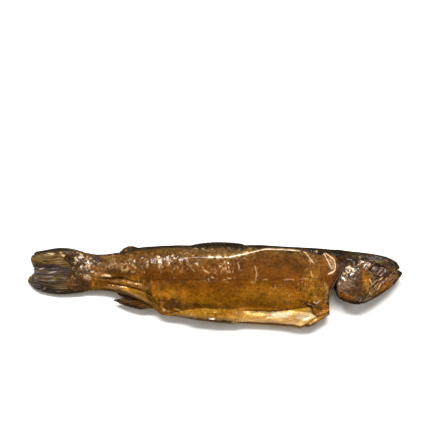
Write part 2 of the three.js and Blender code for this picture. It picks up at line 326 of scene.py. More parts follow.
ROWS, FRONT_ROWS = 430, 60  # rows along the trunk, and those of them in front of its neck
NEAR_SKIN, FAR_SKIN = 120, 56  # columns down each side's skin
LINING, LIP = 11, 6  # columns down one side of the lining and round one flap's edge
LINING_MARK = 2.0  # the across mark of the lining
FLESH_MARK = 3.0  # the across mark of the cut flesh
TRUNK_REAR, TAIL_NECK, TRUNK_NECK, TRUNK_FRONT = -118.0, -96.0, 74.0, 100.0
SCALE_ROWS = 44
PORE_PITCH = 2.4  # between two pores of the lateral line
BAND_PITCH = 2.4  # between two faint bands of the lower flank
MUSCLE_PITCH = 7.2  # between two blocks of muscle under the back's skin
RIB_PITCH = 5.0  # between two ribs in the lining
MEMBRANE_RAY_PITCH = 2.1  # between two bony rays of the throat membrane
JAW_STREAKS = 4  # ridges along the lower jaw

# How the rim of the cut flesh turns in: shares of the way to its middle, and how far it bulges forward.
FLESH_TURN = ((0.06, 0.35), (0.16, 0.5), (0.35, 0.35), (0.6, 0.1), (0.85, -0.1), (0.96, -0.2))

# --- marks on the skin, from above

# The long crease under the back, which turns down at the shoulder.
BACK_CREASE = (
    (-30, 21.5), (-12, 22.8), (8, 22.6), (20, 24.2), (32, 27.2), (40, 28.9), (54, 28.6), (70, 27.3),
)
back_crease = through(BACK_CREASE)
SHOULDER_CREASE = ((70.1, 27.3), (73.3, 23.3), (77.6, 17.4))
SHOULDER_FOLDS = (
    ((85.2, 26.4), (90, 23.4), (93.8, 20.2), (94.7, 16), (94.3, 12.1), (92.3, 10.1), (87.4, 7.9)),
    ((85.6, 25.7), (89.2, 18.4), (92.3, 12.1)), ((88.4, 20), (93.9, 18.8)),
    ((90.8, 21.6), (92.7, 16.8), (93.1, 12.1)),
)
STUB_FOLDS = (((72.6, -14.2), (77, -16.6), (81, -19.2)), ((77.4, -12.4), (80.6, -14.6), (83.6, -11.6)))
STUB_CREASE = ((70, -14.4), (78, -18), (91.6, -18.8))
lateral_line = through((
    (-104, 9.6), (-90, 7.8), (-76, 6.4), (-56, 5.2), (-30, 4.7), (40, 4.8), (76, 5.2), (92, 6.8),
))
belly_crease = through((
    (12, -21.6), (20, -20.6), (32, -21.2), (44, -21.8), (56, -20.6), (68, -18.6), (77, -17.6), (90, -17),
))
flap_end = through(((-32, 72), (-30.5, 75), (-27.9, 78.4), (-25.5, 82), (-22, 79), (-19.5, 77), (-12, 76)))
TENDONS = (
    ((-101.6, 9), (-92, 7.8), (-84, 7.2), (-77.6, 6.4)),
    ((-92, -1.7), (-77.6, -2.7), (-70.4, -4.6), (-63, -8.3), (-55.6, -11.9), (-49, -16.4)),
    ((-84, 3), (-71, 1.7), (-60, -0.6)),
)
TENDON_CREASES = (
    ((-96, 4.7), (-84, 4.9), (-74, 5.3), (-68, 3.4), (-52, 0)),
    ((-92, 1.3), (-83, 0.5), (-74, -0.9), (-63, -3.1), (-54.4, -5.9), (-47, -12.1)),
)
WRINKLES = (
    ((7.2, 20.5), (8.8, 14.5), (9.6, 8.5)), ((-0.6, 9.9), (3.2, 14), (9.6, 20)),
    ((10, 19.6), (11, 14), (12.4, 9.4)), ((-3.2, 6.9), (0, 5.9), (3.2, 5.3)),
    ((17.6, 18.9), (19.2, 14.9), (18.4, 10.9)), ((31.2, 16.5), (32.8, 10.5), (32, 3.7)),
    ((-10.4, 15.7), (-8, 11.7), (-4, 10)), ((3, 17), (5.4, 12), (4.4, 8)), ((28, 5.4), (29.5, 2.4)),
    ((-6, 6), (-4, 4.6)), ((10, 6), (13, 5.6)), ((73.5, 22.5), (75.1, 18.5), (74.3, 13.8)),
    ((75.2, 12), (76.4, 7), (75.4, 2.6)),
)
UPPER_GLINTS = (
    ((-45.6, 24.5), (-43.6, 18), (-43.2, 11.7)), ((-38.4, 23.7), (-36, 18), (-37, 13.3)),
    ((-29.6, 22), (-27, 19), (-26.4, 15.7)), ((-23.2, 22), (-20, 16.5)), ((-16, 18), (-12, 14.9)),
    ((-56, 22), (-53, 17), (-54, 13)), ((-66, 17), (-62, 13)), ((-33, 25), (-32, 20)),
    ((-84, 17), (-78, 12)), ((-75, 13), (-70, 10)),
)
LATERAL_GLINTS = (
    ((6.4, 4.9), (11.2, 4.8)), ((30.8, 4.9), (33.9, 4.8)), ((37.1, 4.8), (41.8, 5)),
    ((52.8, 4.6), (57, 5.1), (63, 5)), ((66.2, 5.2), (70, 5.6), (74, 5.3)),
)
PEDUNCLE_GLINTS = (
    ((-91.5, 7.4), (-87.1, 7.5), (-81, 6.9)), ((-95.6, 8.3), (-94, 6.7)),
    ((-70, 2.3), (-64, 1.4), (-57, -0.4)), ((-82, 2.6), (-77, 2.2)), TENDONS[1],
)
ROOT_GLINTS = (
    ((-112.5, 22.4), (-110.5, 19.2)), ((-113.7, 18), (-111.7, 16.4)), ((-107.7, 15.6), (-106.1, 11.5)),
    ((-103.7, 13.1), (-102.1, 18)), ((-100.1, 17.6), (-100.9, 12.3)), ((-105.3, 7.5), (-102.1, 4.3)),
    ((-102.9, 7.9), (-99.7, 5.1)), ((-109.3, 25.2), (-106.9, 23.6)),
)

# Lines painted with highlight, as on the shining crests of wet folds: the line, its half width, its strength
# and its beading.
TRUNK_HIGHLIGHT_CRESTS = (
    (BACK_CREASE[2:], 0.5, 0.9, 0.3), (BACK_CREASE[1:5], 1.35, 0.95, 0.95), (SHOULDER_CREASE, 0.5, 1, 0.3),
    (((79, 26.8), (80.6, 26.8)), 0.6, 1, 0), (SHOULDER_FOLDS[0], 0.42, 1.15, 0.2),
    (SHOULDER_FOLDS[1], 0.38, 1.05, 0.2), (SHOULDER_FOLDS[2], 0.35, 0.6, 0.5),
    (SHOULDER_FOLDS[3], 0.6, 0.45, 0.6), *each(STUB_FOLDS, 0.6, 1.3, 0.2),
    *each(WRINKLES, 0.38, 0.72, 0.85), *each(LATERAL_GLINTS, 0.4, 0.7, 0.6),
    *each(UPPER_GLINTS, 0.75, 0.52, 0.9), (UPPER_GLINTS[0], 0.95, 0.9, 0.7),
    *((line, 0.9, strength, 0.8) for line, strength in zip(PEDUNCLE_GLINTS, (1.2, 0.9, 0.5, 0.4, 0.4))),
    *each(ROOT_GLINTS, 0.6, 1.15, 0.7),
)
HEAD_HIGHLIGHT_CRESTS = each((
    ((114.3, 16.5), (115.5, 18.5), (117, 19.3)), ((117.4, 14.9), (118.6, 16.9), (119.4, 18.5)),
    ((119.8, 15.3), (123.4, 16.5)), ((114.3, 22.4), (115.5, 22)), ((103.2, 18.9), (104, 20.5)),
    ((123.1, -0.9), (125.5, 2.2), (128.2, 5)), ((124.7, -3.7), (127.1, -0.5), (129.4, 2.2)),
    ((128.2, 3.4), (131.2, 5.4), (134.4, 7.1)), ((127.5, -3.7), (129.8, 0.2), (133, 3)),
    ((121.5, 5.8), (122.7, 3.4), (123.9, 0.6)), ((124.3, -6.9), (125.9, -4.5)),
), 0.42, 0.95, 0.5)
GILL_HIGHLIGHT_CRESTS = each((
    ((102.8, 12.9), (105.2, 14.5), (107.2, 15.3)), ((107.2, 15.3), (106.8, 12.2), (105.2, 9)),
    ((107.2, 14.5), (108.7, 12.2), (109.9, 10.2)), ((101.2, 8.2), (103.2, 10.2), (105.2, 10.6)),
    ((108.3, 13.7), (110.7, 12.6)), ((101.6, 3.9), (104, 4.6)), ((97.7, 0.3), (98.5, 2.3)),
    ((99.6, 11), (101.2, 12.2)), ((103, 6.5), (104.5, 8)),
), 0.32, 1.3, 0.6)
# Where the finely crinkled skin gets painted glints: its span along x and y, and the crinkles' length, width
# and strength.
CRINKLE_GLINTS = (
    ((-9, 14), (3.5, 19), (2.2, 2.8), 0.5), ((15, 20), (9, 19), (2, 2.6), 0.45),
    ((29, 34), (2, 15), (2.2, 3), 0.35), ((-84, -10), (11, 25), (1.8, 3.6), 0.6),
    ((-100, -66), (13, 20), (1.8, 1.8), 0.65), ((-82, -54), (-4, 3), (2.2, 1.4), 0.4),
    ((-50, -26), (-20, -9), (2, 1.6), 0.25), ((-114, -100), (5, 22), (2.2, 2.6), 0.9),
    ((-24, 30), (22, 29), (1.6, 1.5), 0.85), ((80, 90), (-14, 4), (1.6, 3.6), 0.6),
    ((46, 79), (-27, -22), (3, 2), 0.6), ((73, 79), (7, 21), (1.8, 2.2), 0.6),
    ((-48, -38), (-18, -14), (2.6, 2), 0.3), ((-60, -36), (-9, -2), (3, 2.2), 0.25),
    ((-22, 20), (-24, -19), (1.8, 1.4), 0.9), ((44, 84), (-13, 1), (2.2, 1.4), 0.6),
)
GILL_CRINKLE_GLINTS = (
    ((99, 109), (7, 16), (1.5, 1.5), 0.75), ((98, 110), (-3, 7), (2.2, 1.6), 0.5),
    ((103, 110), (16, 20), (1.8, 1.6), 0.7),
)
BARE_LINES = (
    (BACK_CREASE, 1), (TENDONS[0], 1.6),
    *each((SHOULDER_CREASE, *SHOULDER_FOLDS, *STUB_FOLDS, *TENDONS[1:]), 1),
)
# Folds and creases in relief: the line, its height, its width and the share of it that dies away.
TRUNK_FOLDS = (
    (SHOULDER_CREASE, 0.5, 0.9), *each(SHOULDER_FOLDS, 0.5, 0.85, 0.08), *each(STUB_FOLDS, 0.45, 0.8),
    *each(TENDONS, 0.7, 1.5, 0.2), *each(TENDON_CREASES, -0.85, 0.8, 0.2), (STUB_CREASE, -1, 1.1),
)
TRUNK_WRINKLES = each(WRINKLES, 0.36, 0.75, 0.25) + each(UPPER_GLINTS, 0.35, 1.1, 0.3)

# Eye socket: middle, half length, half height and tilt.
EYE_X, EYE_Y = 129.6, 11.6
EYE_LONG, EYE_HIGH = 7.7, 5.3
EYE_TILT = math.radians(-14)
EYE_FILL = 0.97  # the eye's size as a share of its socket's
EYE_SUNK = 1.6  # how far the eye lies in its socket
LENS, EYE_PIT = (125.9, 13.4), (130.0, 14.8)  # where the eye bulges and where it has fallen in
EYE_FOLDS = (
    ((128.2, 8.6), (130.6, 11.1), (133, 13.7)), ((130.2, 6.4), (132, 8), (134, 9.8)),
    ((134.4, 13.6), (135.2, 11.5), (134.6, 9.4)), ((122.8, 11.6), (125.6, 9.4), (128.8, 7.4)),
)
NOSTRIL = (140.4, 17.0)

MAXILLA = ((144.5, 12.4), (140, 9.6), (134, 5.6), (128, 0.8), (123.2, -4.2))
CHEEK_FOLDS = (
    ((134.6, 6.6), (130, 3.4), (126.6, 0.6), (123.4, -3)), ((131.4, 5.4), (127.4, 2.6), (124.4, -0.4)),
    ((128.4, 5.2), (124.4, 2.4), (121.8, -0.8)),
)
HIGHLIGHTED_FOLDS = (
    ((135.6, 6.9), (132, 5.4), (128.8, 3.2)), ((129, 3.6), (126.6, 1.4), (124.4, -1.6)),
    ((126.2, 3.4), (124.2, 1.2), (122.2, -1.4)), ((131.6, 1), (129.8, -1.6), (128.4, -4.6)),
    ((127.4, 0.4), (125.4, -2.8), (124.6, -5.6)),
)
PREOPERCLE = ((111, 14), (112.6, 8), (113.4, 0), (112.2, -7), (107.6, -12.4))
SUBOPERCLE_SEAM = ((97.6, -2.4), (103, -4.8), (108, -5.2), (113, -3.6))

# --- outlines of the fins

tail_top = through(((-151, 25.2), (-138, 27.4), (-126, 29.3), (-116, 28.6), (-108, 26.2), (-100, 24.6)))
tail_foot = through((
    (-151, 0.4), (-144, -4.6), (-136, -7), (-126, -8.2), (-116, -7.4), (-108, -6.2), (-100, -5),
))
tail_half = through(((-151, 0.25), (-138, 0.35), (-126, 0.6), (-116, 1.1), (-108, 1.8), (-100, 2.2)))
tail_axis = through(((-151, 4.6), (-130, 5.4), (-112, 6.4), (-100, 7.4)))
tail_margin = through((
    (0, -145.6), (0.06, -146.4), (0.15, -148.9), (0.25, -149), (0.38, -147.4), (0.5, -146.2),
    (0.62, -147.2), (0.75, -149.8), (0.86, -151.4), (0.95, -151.2), (1, -147.4),
))
TAIL_SHEET_ROOT = -102.0
TAIL_BUNDLES = 13  # bundles of rays that stand out of the tail fin
TAIL_SPLIT = -128.0  # where the rays split in two

MARK_CLEAR = 40.0  # a collar mark that is far from the collar, and below 0 a flap mark far from the flap

# Lamps: name, place and size in metres, and the setting that holds their power.
LAMPS = (
    ("key", (0, 0.75, 1.2), (0.9, 0.28), "key"), ("left", (-0.9, 0.3, 1), (0.25, 0.35), "side"),
    ("right", (0.95, 0.3, 1), (0.25, 0.35), "side"), ("ceiling", (0, -0.35, 1.1), (2.4, 2), "ceiling"),
)
TABLE_HALF, TABLE_TOP = 6000.0, -0.05  # half the table's width, and its height just below the fish
WARM = (1.0, 0.89, 0.76)  # the tint of the light from the ceiling
VIEW_MIDDLE = (6.8, 48.9)  # the point of the table under the camera

# --- sheets and meshes


class Sheet:
    """A lattice of points in millimetres: rows along a part by columns that run right round it."""

    def __init__(self, points, across=None, marks=None):
        self.points = np.array(points, float)
        self.across = np.zeros(self.points.shape[:2]) if across is None else across
        blank = np.zeros(self.points.shape[:2])
        self.marks = {"relief": blank, "crest": blank, **(marks or {})}

    def normals(self):
        """The way out of the part at each point."""
        along = np.gradient(self.points, axis=0)
        around = np.roll(self.points, -1, 1) - np.roll(self.points, 1, 1)
        return unit(np.cross(around, along))

    def emboss(self, lift):
        """Moves the points out along their normals, less near the table and never below it."""
        lift = lift * bpy.context.scene.trout_sizes.relief
        near_table = ease(0.3, 2.0, self.points[..., 2])
        self.points = self.points + self.normals() * (lift * near_table)[..., None]
        self.points[..., 2] = np.maximum(self.points[..., 2], 0)
        self.marks["relief"] = lift
        return self

    def faces(self):
        """Quads between the points, round all the columns, and triangles over both ends."""
        rows, columns = self.points.shape[:2]
        row = np.arange(rows - 1)[:, None] * columns
        k = np.arange(columns)
        after = (k + 1) % columns
        quads = joined(row + k, row + after, row + columns + after, row + columns + k)
        return quads.reshape(-1, 4).tolist() + self.cap(0) + self.cap(rows - 1)

    def cap(self, row):
        """Triangles over the ring of points in one row, whichever way the ring faces."""
        ring = self.points[row]
        widest = np.argsort(np.ptp(ring, axis=0))[1:]
        flat = [Vector((*point[widest], 0)) for point in ring]
        first = row * len(ring)
        return [[first + i for i in triangle] for triangle in tessellate_polygon([flat])]

    def blend(self, field, row, column):
        """A field of numbers or vectors over the lattice, at fractional rows and columns."""
        field = field.reshape(*self.across.shape, -1)
        row = np.clip(row, 0, self.points.shape[0] - 1.001)
        i, k = np.floor(row).astype(int), np.floor(column).astype(int)
        t, s = (row - i)[:, None], (column - k)[:, None]
        after = (k + 1) % self.points.shape[1]
        low = field[i, k] * (1 - s) + field[i, after] * s
        high = field[i + 1, k] * (1 - s) + field[i + 1, after] * s
        return low * (1 - t) + high * t


def new_object(name, points, edges=(), faces=(), marks=None):
    """An object with a mesh from points in millimetres. marks holds a value or vector for each point."""
    mesh = bpy.data.meshes.new(name)
    mesh.from_pydata(np.asarray(points, float).reshape(-1, 3) * MM, edges, faces)
    for mark, values in (marks or {}).items():
        values = np.asarray(values, np.float32)
        kind, field = ("FLOAT_VECTOR", "vector") if values.ndim == 2 else ("FLOAT", "value")
        mesh.attributes.new(mark, kind, "POINT").data.foreach_set(field, values.ravel())
    piece = bpy.data.objects.new(name, mesh)
    bpy.context.scene.collection.objects.link(piece)
    return piece


def join_frame(piece):
    """Makes a piece move with the fish's body."""
    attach(piece, BODY)
    return piece


def make_piece(name, sheets, materials, paint=None, weld=0.02):
    """One mesh piece from sheets, with its doubles merged and its faces turned outwards.

    paint gives, for the faces of a single sheet, each face's place in materials.
    """
    points, faces = [], []
    for sheet in sheets:
        first = sum(len(p) for p in points)
        faces += [[first + corner for corner in face] for face in sheet.faces()]
        points.append(np.maximum(sheet.points.reshape(-1, 3), (-math.inf, -math.inf, 0)))
    marks = {"across": np.concatenate([sheet.across.ravel() for sheet in sheets])}
    for mark_name in sheets[0].marks:
        marks[mark_name] = np.concatenate([sheet.marks[mark_name].ravel() for sheet in sheets])
    piece = new_object(name, np.concatenate(points), faces=faces, marks=marks)
    mesh = piece.data
    for material in materials:
        mesh.materials.append(material)
    if paint is not None:
        mesh.polygons.foreach_set("material_index", paint(mesh))
    work = bmesh.new()
    work.from_mesh(mesh)
    bmesh.ops.remove_doubles(work, verts=work.verts, dist=weld * MM)
    bmesh.ops.dissolve_degenerate(work, edges=work.edges, dist=weld * MM / 4)
    bmesh.ops.recalc_face_normals(work, faces=work.faces)
    work.to_mesh(mesh)
    work.free()
    mesh.shade_smooth()
    return join_frame(piece)


def grow_piece(name, points, marks, tree, settings, edges=()):
    """Runs a Geometry Nodes tree on bare points or lines and keeps the result as a plain mesh piece."""
    piece = new_object(name, points, edges=edges, marks=marks)
    growth = piece.modifiers.new("growth", "NODES")
    growth.node_group = tree
    for item in tree.interface.items_tree:
        if item.in_out == "INPUT" and item.name in settings:
            growth[item.identifier] = settings[item.name]
    depsgraph = bpy.context.evaluated_depsgraph_get()
    grown = bpy.data.meshes.new_from_object(
        piece.evaluated_get(depsgraph), preserve_all_data_layers=True, depsgraph=depsgraph,
    )
    piece.modifiers.remove(growth)
    bare = piece.data
    piece.data = grown
    grown.name = name
    bpy.data.meshes.remove(bare)
    return join_frame(piece)


# --- nodes


class Wire:
    """A node's output. Arithmetic on it, with numbers or other wires, adds Math nodes."""

    def __init__(self, graph, socket):
        self.graph = graph
        self.socket = socket

    def math(self, operation, *terms):
        return self.graph.node("ShaderNodeMath", {"operation": operation}, dict(enumerate(terms)))

    def __add__(self, other):
        return self.math("ADD", self, other)

    __radd__ = __add__

    def __sub__(self, other):
        return self.math("SUBTRACT", self, other)

    def __rsub__(self, other):
        return self.math("SUBTRACT", other, self)

    def __mul__(self, other):
        return self.math("MULTIPLY", self, other)

    __rmul__ = __mul__

    def larger(self, other):
        return self.math("MAXIMUM", self, other)

    def __abs__(self):
        return self.math("ABSOLUTE", self)


class Graph:
    """Adds nodes to a tree and links them."""

    def __init__(self, tree):
        self.tree = tree
        tree.nodes.clear()

    @staticmethod
    def find(sockets, key):
        if isinstance(key, int):
            return sockets[key]
        return next(socket for socket in sockets if socket.name == key and socket.enabled)

    def node(self, kind, settings=None, inputs=None, output=0):
        """Adds a node: first its settings, then values or links for its sockets, by name or number."""
        node = self.tree.nodes.new(kind)
        for setting, value in (settings or {}).items():
            if setting == "stops":
                self.set_stops(node.color_ramp, value)
            else:
                setattr(node, setting, value)
        for key, value in (inputs or {}).items():
            socket = self.find(node.inputs, key)
            if isinstance(value, Wire):
                self.tree.links.new(value.socket, socket)
            elif socket.type == "RGBA":
                socket.default_value = (*value[:3], 1)
            else:
                socket.default_value = value
        if not node.outputs:
            return node
        return Wire(self, self.find(node.outputs, output))

    @staticmethod
    def set_stops(ramp, stops):
        """Gives a colour ramp its (position, colour) stops."""
        while len(ramp.elements) < len(stops):
            ramp.elements.new(1)
        for element, (position, colour) in zip(ramp.elements, stops):
            element.position = position
            element.color = (*colour[:3], 1)

    def ramp(self, value, stops):
        return self.node("ShaderNodeValToRGB", {"stops": stops}, {"Fac": value})

    def mix(self, share, low, high, blend="MIX"):
        """low where share is 0 and high where it is 1, as colours."""
        settings = {"data_type": "RGBA", "blend_type": blend}
        return self.node("ShaderNodeMix", settings, {"Factor": share, "A": low, "B": high}, "Result")

    def fade(self, value, low, high):
        """0 at low and 1 at high, with a smooth turn at both."""
        if low > high:
            return 1 - self.fade(value, high, low)
        return self.node("ShaderNodeMapRange", {"interpolation_type": "SMOOTHSTEP"},
                         {"Value": value, "From Min": low, "From Max": high})

    def stretched(self, place, factors):
        return self.node("ShaderNodeVectorMath", {"operation": "MULTIPLY"}, {0: place, 1: factors})

    def split(self, place):
        """The three parts of a vector, as wires."""
        return [self.node("ShaderNodeSeparateXYZ", inputs={0: place}, output=axis) for axis in "XYZ"]

    def random(self, seed):
        """A number from -1 to 1 for each point."""
        return self.node("FunctionNodeRandomValue", {"data_type": "FLOAT"},
                         {"Min": -1, "Max": 1, "Seed": seed}, "Value")

    def named(self, name, kind):
        return self.node("GeometryNodeInputNamedAttribute", {"data_type": kind}, {"Name": name},
                         "Attribute")


def new_tree(name, sockets):
    """A Geometry Nodes tree for a geometry, with its inputs' names, types and defaults."""
    tree = bpy.data.node_groups.new(name, "GeometryNodeTree")
    tree.interface.new_socket("Geometry", in_out="OUTPUT", socket_type="NodeSocketGeometry")
    tree.interface.new_socket("Geometry", in_out="INPUT", socket_type="NodeSocketGeometry")
    for label, kind, default in (*sockets, ("Smooth", "Bool", True), ("Material", "Material", None)):
        socket = tree.interface.new_socket(label, in_out="INPUT", socket_type=f"NodeSocket{kind}")
        if default is not None:
            socket.default_value = default
    graph = Graph(tree)
    source = tree.nodes.new("NodeGroupInput")
    given = {output.name: Wire(graph, output) for output in source.outputs if output.name}
    return graph, given


def end_tree(graph, geometry, given):
    """Ends a tree: instances made real, shading set, and the material given."""
    for kind, inputs in (
        ("GeometryNodeRealizeInstances", {}),
        ("GeometryNodeSetShadeSmooth", {"Shade Smooth": given["Smooth"]}),
        ("GeometryNodeSetMaterial", {"Material": given["Material"]}),
        ("NodeGroupOutput", {}),
    ):
        geometry = graph.node(kind, inputs={"Geometry": geometry, **inputs})
    return graph.tree


@functools.cache
def studs_tree():
    """Puts a small blunt cone on each point, along its facing, leaning and sized by its own marks."""
    graph, given = new_tree("studs", [
        ("Sides", "Int", 6), ("Top", "Float", 0.6), ("Lean", "Float", 0.0), ("Wobble", "Float", 0.0),
        ("Vary", "Float", 0.1), ("Seed", "Int", 0),
    ])
    stud = graph.node("GeometryNodeMeshCone", {"fill_type": "NGON"}, {
        "Vertices": given["Sides"], "Side Segments": 1, "Radius Top": given["Top"], "Radius Bottom": 1.0,
        "Depth": 1.0,
    })
    turned = graph.node("FunctionNodeAxesToRotation", {"primary_axis": "Z", "secondary_axis": "X"}, {
        "Primary Axis": graph.named("facing", "FLOAT_VECTOR"),
        "Secondary Axis": graph.named("along", "FLOAT_VECTOR"),
    })
    wobble = given["Wobble"]
    angles = graph.node("ShaderNodeCombineXYZ", inputs={
        "X": wobble * graph.random(given["Seed"]),
        "Y": given["Lean"] + wobble * graph.random(given["Seed"] + 1),
        "Z": wobble * graph.random(given["Seed"] + 2),
    })
    lean = graph.node("FunctionNodeEulerToRotation", inputs={"Euler": angles})
    rotation = graph.node("FunctionNodeRotateRotation", {"rotation_space": "LOCAL"},
                          {"Rotation": turned, "Rotate By": lean})
    growth = 1 + given["Vary"] * graph.random(given["Seed"] + 3)
    size = graph.node("ShaderNodeVectorMath", {"operation": "SCALE"},
                      {"Vector": graph.named("size", "FLOAT_VECTOR"), "Scale": growth})
    studs = graph.node("GeometryNodeInstanceOnPoints", inputs={
        "Points": given["Geometry"], "Instance": stud, "Rotation": rotation, "Scale": size,
    })
    return end_tree(graph, studs, given)


@functools.cache
def cords_tree():
    """Makes each line a round cord whose radius is its points' own mark."""
    graph, given = new_tree("cords", [("Sides", "Int", 6)])
    line = graph.node("GeometryNodeMeshToCurve", inputs={"Mesh": given["Geometry"]})
    round_profile = graph.node("GeometryNodeCurvePrimitiveCircle", {"mode": "RADIUS"},
                               {"Resolution": given["Sides"], "Radius": 1.0})
    cord = graph.node("GeometryNodeCurveToMesh", inputs={
        "Curve": line, "Profile Curve": round_profile, "Scale": graph.named("radius", "FLOAT"),
        "Fill Caps": True,
    })
    return end_tree(graph, cord, given)


def grow_studs(name, points, facing, along, sizes, settings, marks=None):
    """Studs on points: which way each faces, its direction along the fish and its size."""
    marks = {"facing": facing, "along": along, "size": np.asarray(sizes) * MM, **(marks or {})}
    return grow_piece(name, points, marks, studs_tree(), settings)


def grow_cords(name, lines, material):
    """Cords from lines, each an array of points and an array of radii, in millimetres."""
    points = np.concatenate([line for line, _ in lines])
    radii = np.concatenate([np.broadcast_to(radius, len(line)) for line, radius in lines])
    points[:, 2] = np.maximum(points[:, 2], radii)
    ends = np.cumsum([len(line) for line, _ in lines])
    edges = [(i, i + 1) for i in range(ends[-1] - 1) if i + 1 not in ends]
    marks = {"radius": radii * MM}
    return grow_piece(name, points, marks, cords_tree(), {"Material": material}, edges)


# --- sizes and colours


def tint(name, description, colour):
    """A colour that a user can change."""
    return FloatVectorProperty(name=name, description=description, size=3, subtype="COLOR", min=0, max=1,
                               default=colour)


def length(name, description, millimetres):
    """A size that a user can change, held in metres and given in millimetres."""
    return FloatProperty(name=name, description=description, default=millimetres * MM, min=0, unit="LENGTH",
                         precision=5)


def power(name, description, watts):
    """A lamp's power that a user can change."""
    return FloatProperty(name=name, description=description, default=watts, min=0, unit="POWER")


class TroutSizes(PropertyGroup):
    """Sizes of the trout's surface detail."""

    relief: FloatProperty(
        name="Relief", description="Depth of creases, folds and wrinkles", default=1, min=0, max=2,
    )
    scale_pitch: length("Scale pitch", "Distance between two rings of scales", 1.5)
    scale_length: length("Scale length", "Half length of one scale", 1.0)
    scale_lift: length("Scale lift", "Thickness of one scale", 0.12)
    tail_rays: IntProperty(name="Tail rays", description="Rays in the tail fin", default=22, min=8, max=40)
    gill_arches: IntProperty(name="Gill arches", description="Arches on a side", default=4, min=1, max=4)
    teeth: IntProperty(name="Teeth", description="Teeth on a side of one jaw", default=15, min=4, max=30)


class TroutColours(PropertyGroup):
    """Colours of the trout's skin, fins and flesh."""

    back: tint("Back", "Near-black edge of the back", (0.016, 0.011, 0.006))
    saddle: tint("Saddle", "Olive brown just under the back", (0.088, 0.042, 0.009))
    flank: tint("Flank", "Brown upper flank", (0.105, 0.034, 0.005))
    amber: tint("Amber", "Amber lower flank", (0.138, 0.046, 0.0025))
    gold: tint("Gold", "Gold belly", (0.340, 0.135, 0.008))
    cream: tint("Cream", "Pale skin of the belly flap", (0.375, 0.212, 0.066))
    fin: tint("Fin", "Dried fin skin", (0.060, 0.034, 0.014))
    # Painted highlight colours: the strong one on the crests of the folds and the faint one on finer
    # wrinkles.
    crest: tint("Crest", "Wet crests of the skin's folds", (0.64, 0.50, 0.33))
    faint_highlight: tint("Glint", "Finer wrinkles of the skin", (0.56, 0.33, 0.14))
    # Silver skin, painted lighter as glints on the gill cover and at the tail's root.
    silver_glint: tint("Silver", "Silver of the gill cover and the tail's root", (0.360, 0.300, 0.240))
    flesh: tint("Flesh", "Cured flesh", (0.30, 0.15, 0.06))
    gill: tint("Gill", "Dried gill arches", (0.050, 0.018, 0.010))
    lens: tint("Lens", "Clouded lens of the eye", (0.155, 0.108, 0.078))
    bone: tint("Bone", "Teeth and bare bone", (0.55, 0.42, 0.25))


class TroutStage(PropertyGroup):
    """The table, the lamps and the camera."""

    camera_height: length("Camera height", "Height of the camera above the table", 857)
    lens: FloatProperty(name="Lens", description="Focal length in millimetres", default=85, min=20)
    key: power("Key", "Power of the main lamp", 39)
    ceiling: power("Ceiling", "Power of the lamp overhead", 7)
    side: power("Sides", "Power of a side lamp", 2)
    haze: FloatProperty(name="Room light", description="Light from all round", default=0.03, min=0)
    table: tint("Table", "Colour of the table", (0.9, 0.9, 0.9))


# --- materials


OIL_IOR = 1.4  # the refractive index of the oily skin
PATCH_EDGE = 0.75  # how soft a patch's edge is, as a share of its size


